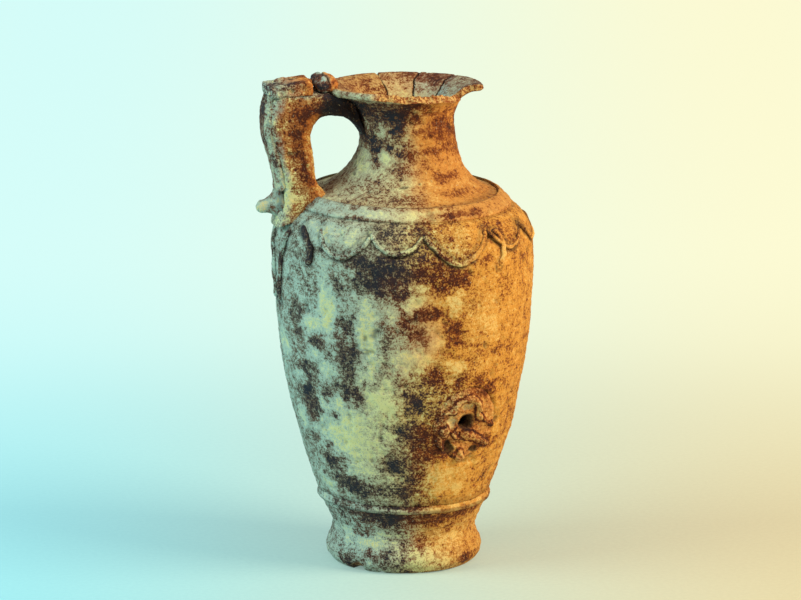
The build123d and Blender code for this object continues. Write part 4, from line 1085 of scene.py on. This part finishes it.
def scar_relief(right, up):
    """Height of the torn clay over the wall: ridges exp(-(distance / half width)^2) along their lines, and
    lumps and hollows that fade past their ellipses, all set askew by noise."""
    place = np.stack([right, up, 0 * right], -1)
    x = right + 0.9 * rough(place, 5, 201)
    y = up + 0.9 * rough(place, 5, 203)
    height = np.zeros_like(right)
    for line, tall, half in SCAR_RIDGES:
        run = through(line, 0.7)
        off = np.min(np.hypot(x[..., None] - run[:, 0], y[..., None] - run[:, 1]), axis=-1)
        height = np.maximum(height, tall * np.exp(-(off / half) ** 2))
    for east, north, wide, high, tall in SCAR_LUMPS:
        height = np.maximum(height, tall * soft(1.2, 0.3, np.hypot((x - east) / wide, (y - north) / high)))
    for east, north, wide, high, deep in SCAR_HOLLOWS:
        height = height - deep * soft(1.2, 0.3, np.hypot((x - east) / wide, (y - north) / high))
    return height


SCAR_CLAY = clay("scar_clay", (182, 146, 98), (204, 136, 66), (96, 52, 30), 0.85, 0.9)
turn = full_turn(SCAR_TURNS)
circle = np.stack([np.cos(turn), np.sin(turn), 0 * turn], -1)
hole = 1 / np.hypot(np.cos(turn) / SCAR_HOLE[0], np.sin(turn) / SCAR_HOLE[1])
hole = hole * (1 + 0.1 * rough(circle, 0.8, 205))
edge = SCAR_REACH * (1 + 0.07 * rough(circle, 0.7, 207))
share = np.linspace(0, 1, SCAR_ROWS)[:, None]
far = hole + share**1.15 * (edge - hole)
right, up = far * np.cos(turn), far * np.sin(turn)
torn = scar_relief(right, up)
top = torn - 0.9 * soft(15, 6, far) - 0.7 * soft(hole + 1.2, hole, far) - 1.6 * soft(0.8, 1.0, share)
under = (
    (edge - 0.5, -4.0), (0.7 * edge, -4.4), (0.45 * edge, -4.6), (hole + 1.6, -5.2), (hole + 1.2, -7.0),
    (hole * 0.92, -7.0), (hole * 0.95, -4.5), (hole * 0.97, -3.0),
)
hidden = np.ones((len(under), SCAR_TURNS))
crust = np.concatenate([torn, 0 * hidden]).ravel()
hole_shade = np.concatenate([soft(hole + 1.4, hole, np.hypot(right, up)), hidden]).ravel()
far = np.concatenate([far, np.stack([row for row, _ in under])])
depth = np.concatenate([top, np.stack([0 * turn + level for _, level in under])])
upper = np.arange(len(far)) < SCAR_ROWS
height = SCAR_HEIGHT + far * np.sin(turn)
r = wall_radius(height)
angle = math.radians(SCAR_DEGREES) + far * np.cos(turn) / r
slope = wall_radius(height + 0.5) - wall_radius(height - 0.5)
out = np.stack([np.cos(angle), np.sin(angle), -slope], -1) / np.sqrt(1 + slope**2)[..., None]
base = np.stack([r * np.cos(angle), r * np.sin(angle), height], -1)
rugged = wall_relief(base.reshape(-1, 3)).reshape(far.shape) + 0.35 * rough(base, 1.8, 209, 3)
points, faces = skin(base + out * (depth + rugged * upper[:, None])[..., None], True)
points = settled(points)
uneven = rough(points, 6, 211)
above = soft(SCAR_HEIGHT - 6, SCAR_HEIGHT - 3, points[:, 2])
# The red and grey here partly paint the warm light from the right and the cool light from the left.
fired_and_lamp_tint = firing_and_lamp_tint(points)
sunk = soft(-0.2, -1.0, crust) * above
slip = np.maximum(0.45 * soft(0.8, 2.0, crust) * soft(-0.2, 0.4, uneven), 0.75 * sunk)
# The hole and the hollows below the scar's middle are darkened as painted shade.
piece(
    "worn_relief_stump", ["relief_stump"], "scar_clay", points, faces, SCAR_CLAY,
    grey=np.maximum(fired_and_lamp_tint["grey"], 0.35 * sunk), red=np.clip(fired_and_lamp_tint["red"] + 0.2 * uneven, 0, 1),
    broken=0.6 * soft(1.2, 2.4, crust), cream=np.maximum(stains(points, BODY_CREAM, 61), slip),
    dark=np.maximum(stains(points, BODY_DARK, 63), 0.95 * soft(0.1, 0.5, crust) * soft(1.6, 0.9, crust)),
    grime=np.clip(0.95 * hole_shade + 0.95 * soft(0.0, -0.9, crust) * (1 - above), 0, 1),
)
turn = full_turn(DRILL_TURNS)[:, None]
angle = math.radians(SCAR_DEGREES)
axis = np.array((math.cos(angle), math.sin(angle), 0))
across = np.array((-math.sin(angle), math.cos(angle), 0))
middle = settled(np.array([[*(wall_radius(SCAR_HEIGHT) * axis[:2]), SCAR_HEIGHT]]))[0]
wide, tall = np.array(SCAR_HOLE) + DRILL_SPARE
grid = middle + np.array(DRILL_ENDS)[:, None, None] * axis
grid = grid + wide * np.cos(turn) * across + tall * np.sin(turn) * (0, 0, 1)
bit = bpy.data.objects.new("drill", mesh_of("drill", *skin(grid, False)))
bpy.context.collection.objects.link(bit)
cutting = body.modifiers.new("hole", "BOOLEAN")
cutting.object = bit
cutting.solver = "EXACT"
bpy.context.view_layer.update()
pierced = bpy.data.meshes.new_from_object(body.evaluated_get(bpy.context.evaluated_depsgraph_get()))
body.modifiers.clear()
body.data = pierced
bpy.data.objects.remove(bit)

# The stage: a pale floor, tinted cyan on the left and cream on the right as painted cool and warm lamp
# light, two broad soft lamps, a cooler one on the left and a warmer one on the right, an even pale surround,
# and a long lens that looks a little down on the jug.
FLOOR_SIZE = 7.0
SURROUND_COLOUR, SURROUND_STRENGTH = (0.93, 0.97, 0.96, 1), 0.38


def reach_along(tree, place, angle):
    """How far a place lies towards an angle on the floor."""
    way = (math.cos(angle), math.sin(angle), 0.0)
    return node(tree, "VectorMath", {0: place, 1: way}, operation="DOT_PRODUCT").outputs["Value"]


floor_mesh = bpy.data.meshes.new("floor")
corner = FLOOR_SIZE / 2
corners = [(-corner, -corner, 0), (corner, -corner, 0), (corner, corner, 0), (-corner, corner, 0)]
floor_mesh.from_pydata(corners, [], [(0, 1, 2, 3)])
floor = bpy.data.objects.new("floor", floor_mesh)
bpy.context.collection.objects.link(floor)
paper = bpy.data.materials.new("paper")
paper.use_nodes = True
tree = paper.node_tree
tree.nodes.clear()
place = tree.nodes.new("ShaderNodeTexCoord").outputs["Object"]
fibre = cloud(tree, place, 420, 4, 0.6)
rightward = fade(tree, reach_along(tree, place, RIGHT), -0.25, 0.25)
backward = fade(tree, reach_along(tree, place, FRONT + math.pi), -0.25, 0.7)
# The floor's own colour paints the lamps' light: cyan on the left, cream on the right.
dull = over(tree, rightward, srgb(164, 228, 242), srgb(228, 206, 164))
bright = over(tree, rightward, srgb(172, 234, 246), srgb(234, 214, 172))
tone = over(tree, fade(tree, fibre, 0.3, 0.7), dull, bright)
bumped = node(tree, "Bump", {"Height": fibre, "Strength": 0.1, "Distance": 0.3 * MM})
shader = node(tree, "BsdfPrincipled", {
    "Base Color": tone, "Roughness": 0.9, "Normal": bumped.outputs[0], "Specular IOR Level": 0.1,
})
# The glow the camera sees paints the same cool and warm light, stronger towards the front.
ahead = over(tree, rightward, srgb(152, 240, 248), srgb(222, 208, 160))
behind = over(tree, rightward, srgb(216, 255, 251), srgb(255, 253, 214))
glow = node(tree, "Emission", {"Color": over(tree, backward, ahead, behind), "Strength": 1.0})
away = node(tree, "VectorMath", {0: place}, operation="LENGTH").outputs["Value"]
share = math_of(tree, "ADD", math_of(tree, "MULTIPLY", fade(tree, away, 0.04, 0.5), 0.6), 0.35)
ray = tree.nodes.new("ShaderNodeLightPath").outputs
seen = math_of(tree, "MAXIMUM", ray["Is Camera Ray"], ray["Is Glossy Ray"])
seen = math_of(tree, "MAXIMUM", seen, ray["Is Transmission Ray"])
share = math_of(tree, "MULTIPLY", seen, share)
surface = node(tree, "MixShader", {0: share, 1: shader.outputs[0], 2: glow.outputs[0]})
node(tree, "OutputMaterial", {"Surface": surface.outputs[0]})
floor_mesh.materials.append(paper)

world = bpy.data.worlds.new("surround")
bpy.context.scene.world = world
world.use_nodes = True
sky = world.node_tree.nodes["Background"].inputs
sky["Color"].default_value = SURROUND_COLOUR
sky["Strength"].default_value = SURROUND_STRENGTH

CAMERA_AZIMUTH, CAMERA_ELEVATION = math.radians(-14), math.radians(13.4)
CAMERA_DISTANCE = 3.5
AIM_SHIFT, AIM_HEIGHT = -1.44, 126.7
AIM_SIDE = AIM_SHIFT * math.cos(CAMERA_AZIMUTH), AIM_SHIFT * math.sin(CAMERA_AZIMUTH)
CAMERA_AIM = np.array((*AIM_SIDE, AIM_HEIGHT)) * MM
SENSOR_WIDTH = 36
FOCUS_PX, PICTURE_PX = 7315, 801    # focal length and picture width in pixels
LAMP_LIFT, LAMP_AIM = (0, 0, 0.1), np.array((0, 0, 0.12))
LAMPS = (                   # name, degrees from the camera, elevation, distance, size, watts, colour
    ("lamp_left", -70, 34, 1.7, 1.0, 18, (0.74, 1.0, 0.98)),
    ("lamp_right", 68, 36, 1.6, 0.8, 23, (1.0, 0.88, 0.66)),
)


def direction(azimuth, elevation):
    """Unit vector from the jug towards a place at an azimuth from -Y and an elevation."""
    flat = math.cos(elevation)
    return np.array((math.sin(azimuth) * flat, -math.cos(azimuth) * flat, math.sin(elevation)))


def aimed(made, place, aim):
    """Puts an object at a place with its -Z axis towards the aim and its Y axis up."""
    back = (place - aim) / np.linalg.norm(place - aim)
    right = np.cross((0, 0, 1), back)
    right /= np.linalg.norm(right)
    made.location = place
    columns = np.stack([right, np.cross(back, right), back], -1)
    made.rotation_euler = Matrix(columns.tolist()).to_euler()
    bpy.context.collection.objects.link(made)


for name, degrees, elevation, distance, size, watts, colour in LAMPS:
    lamp = bpy.data.lights.new(name, "AREA")
    lamp.size = size
    lamp.energy = watts
    lamp.color = colour
    place = direction(CAMERA_AZIMUTH + math.radians(degrees), math.radians(elevation)) * distance
    aimed(bpy.data.objects.new(name, lamp), place + LAMP_LIFT, LAMP_AIM)
lens = bpy.data.cameras.new("camera")
lens.sensor_width = SENSOR_WIDTH
lens.lens = SENSOR_WIDTH * FOCUS_PX / PICTURE_PX
lens.clip_end = 50
camera = bpy.data.objects.new("camera", lens)
aimed(camera, CAMERA_AIM + CAMERA_DISTANCE * direction(CAMERA_AZIMUTH, CAMERA_ELEVATION), CAMERA_AIM)
bpy.context.scene.camera = camera
bpy.context.scene.view_settings.view_transform = "Standard"
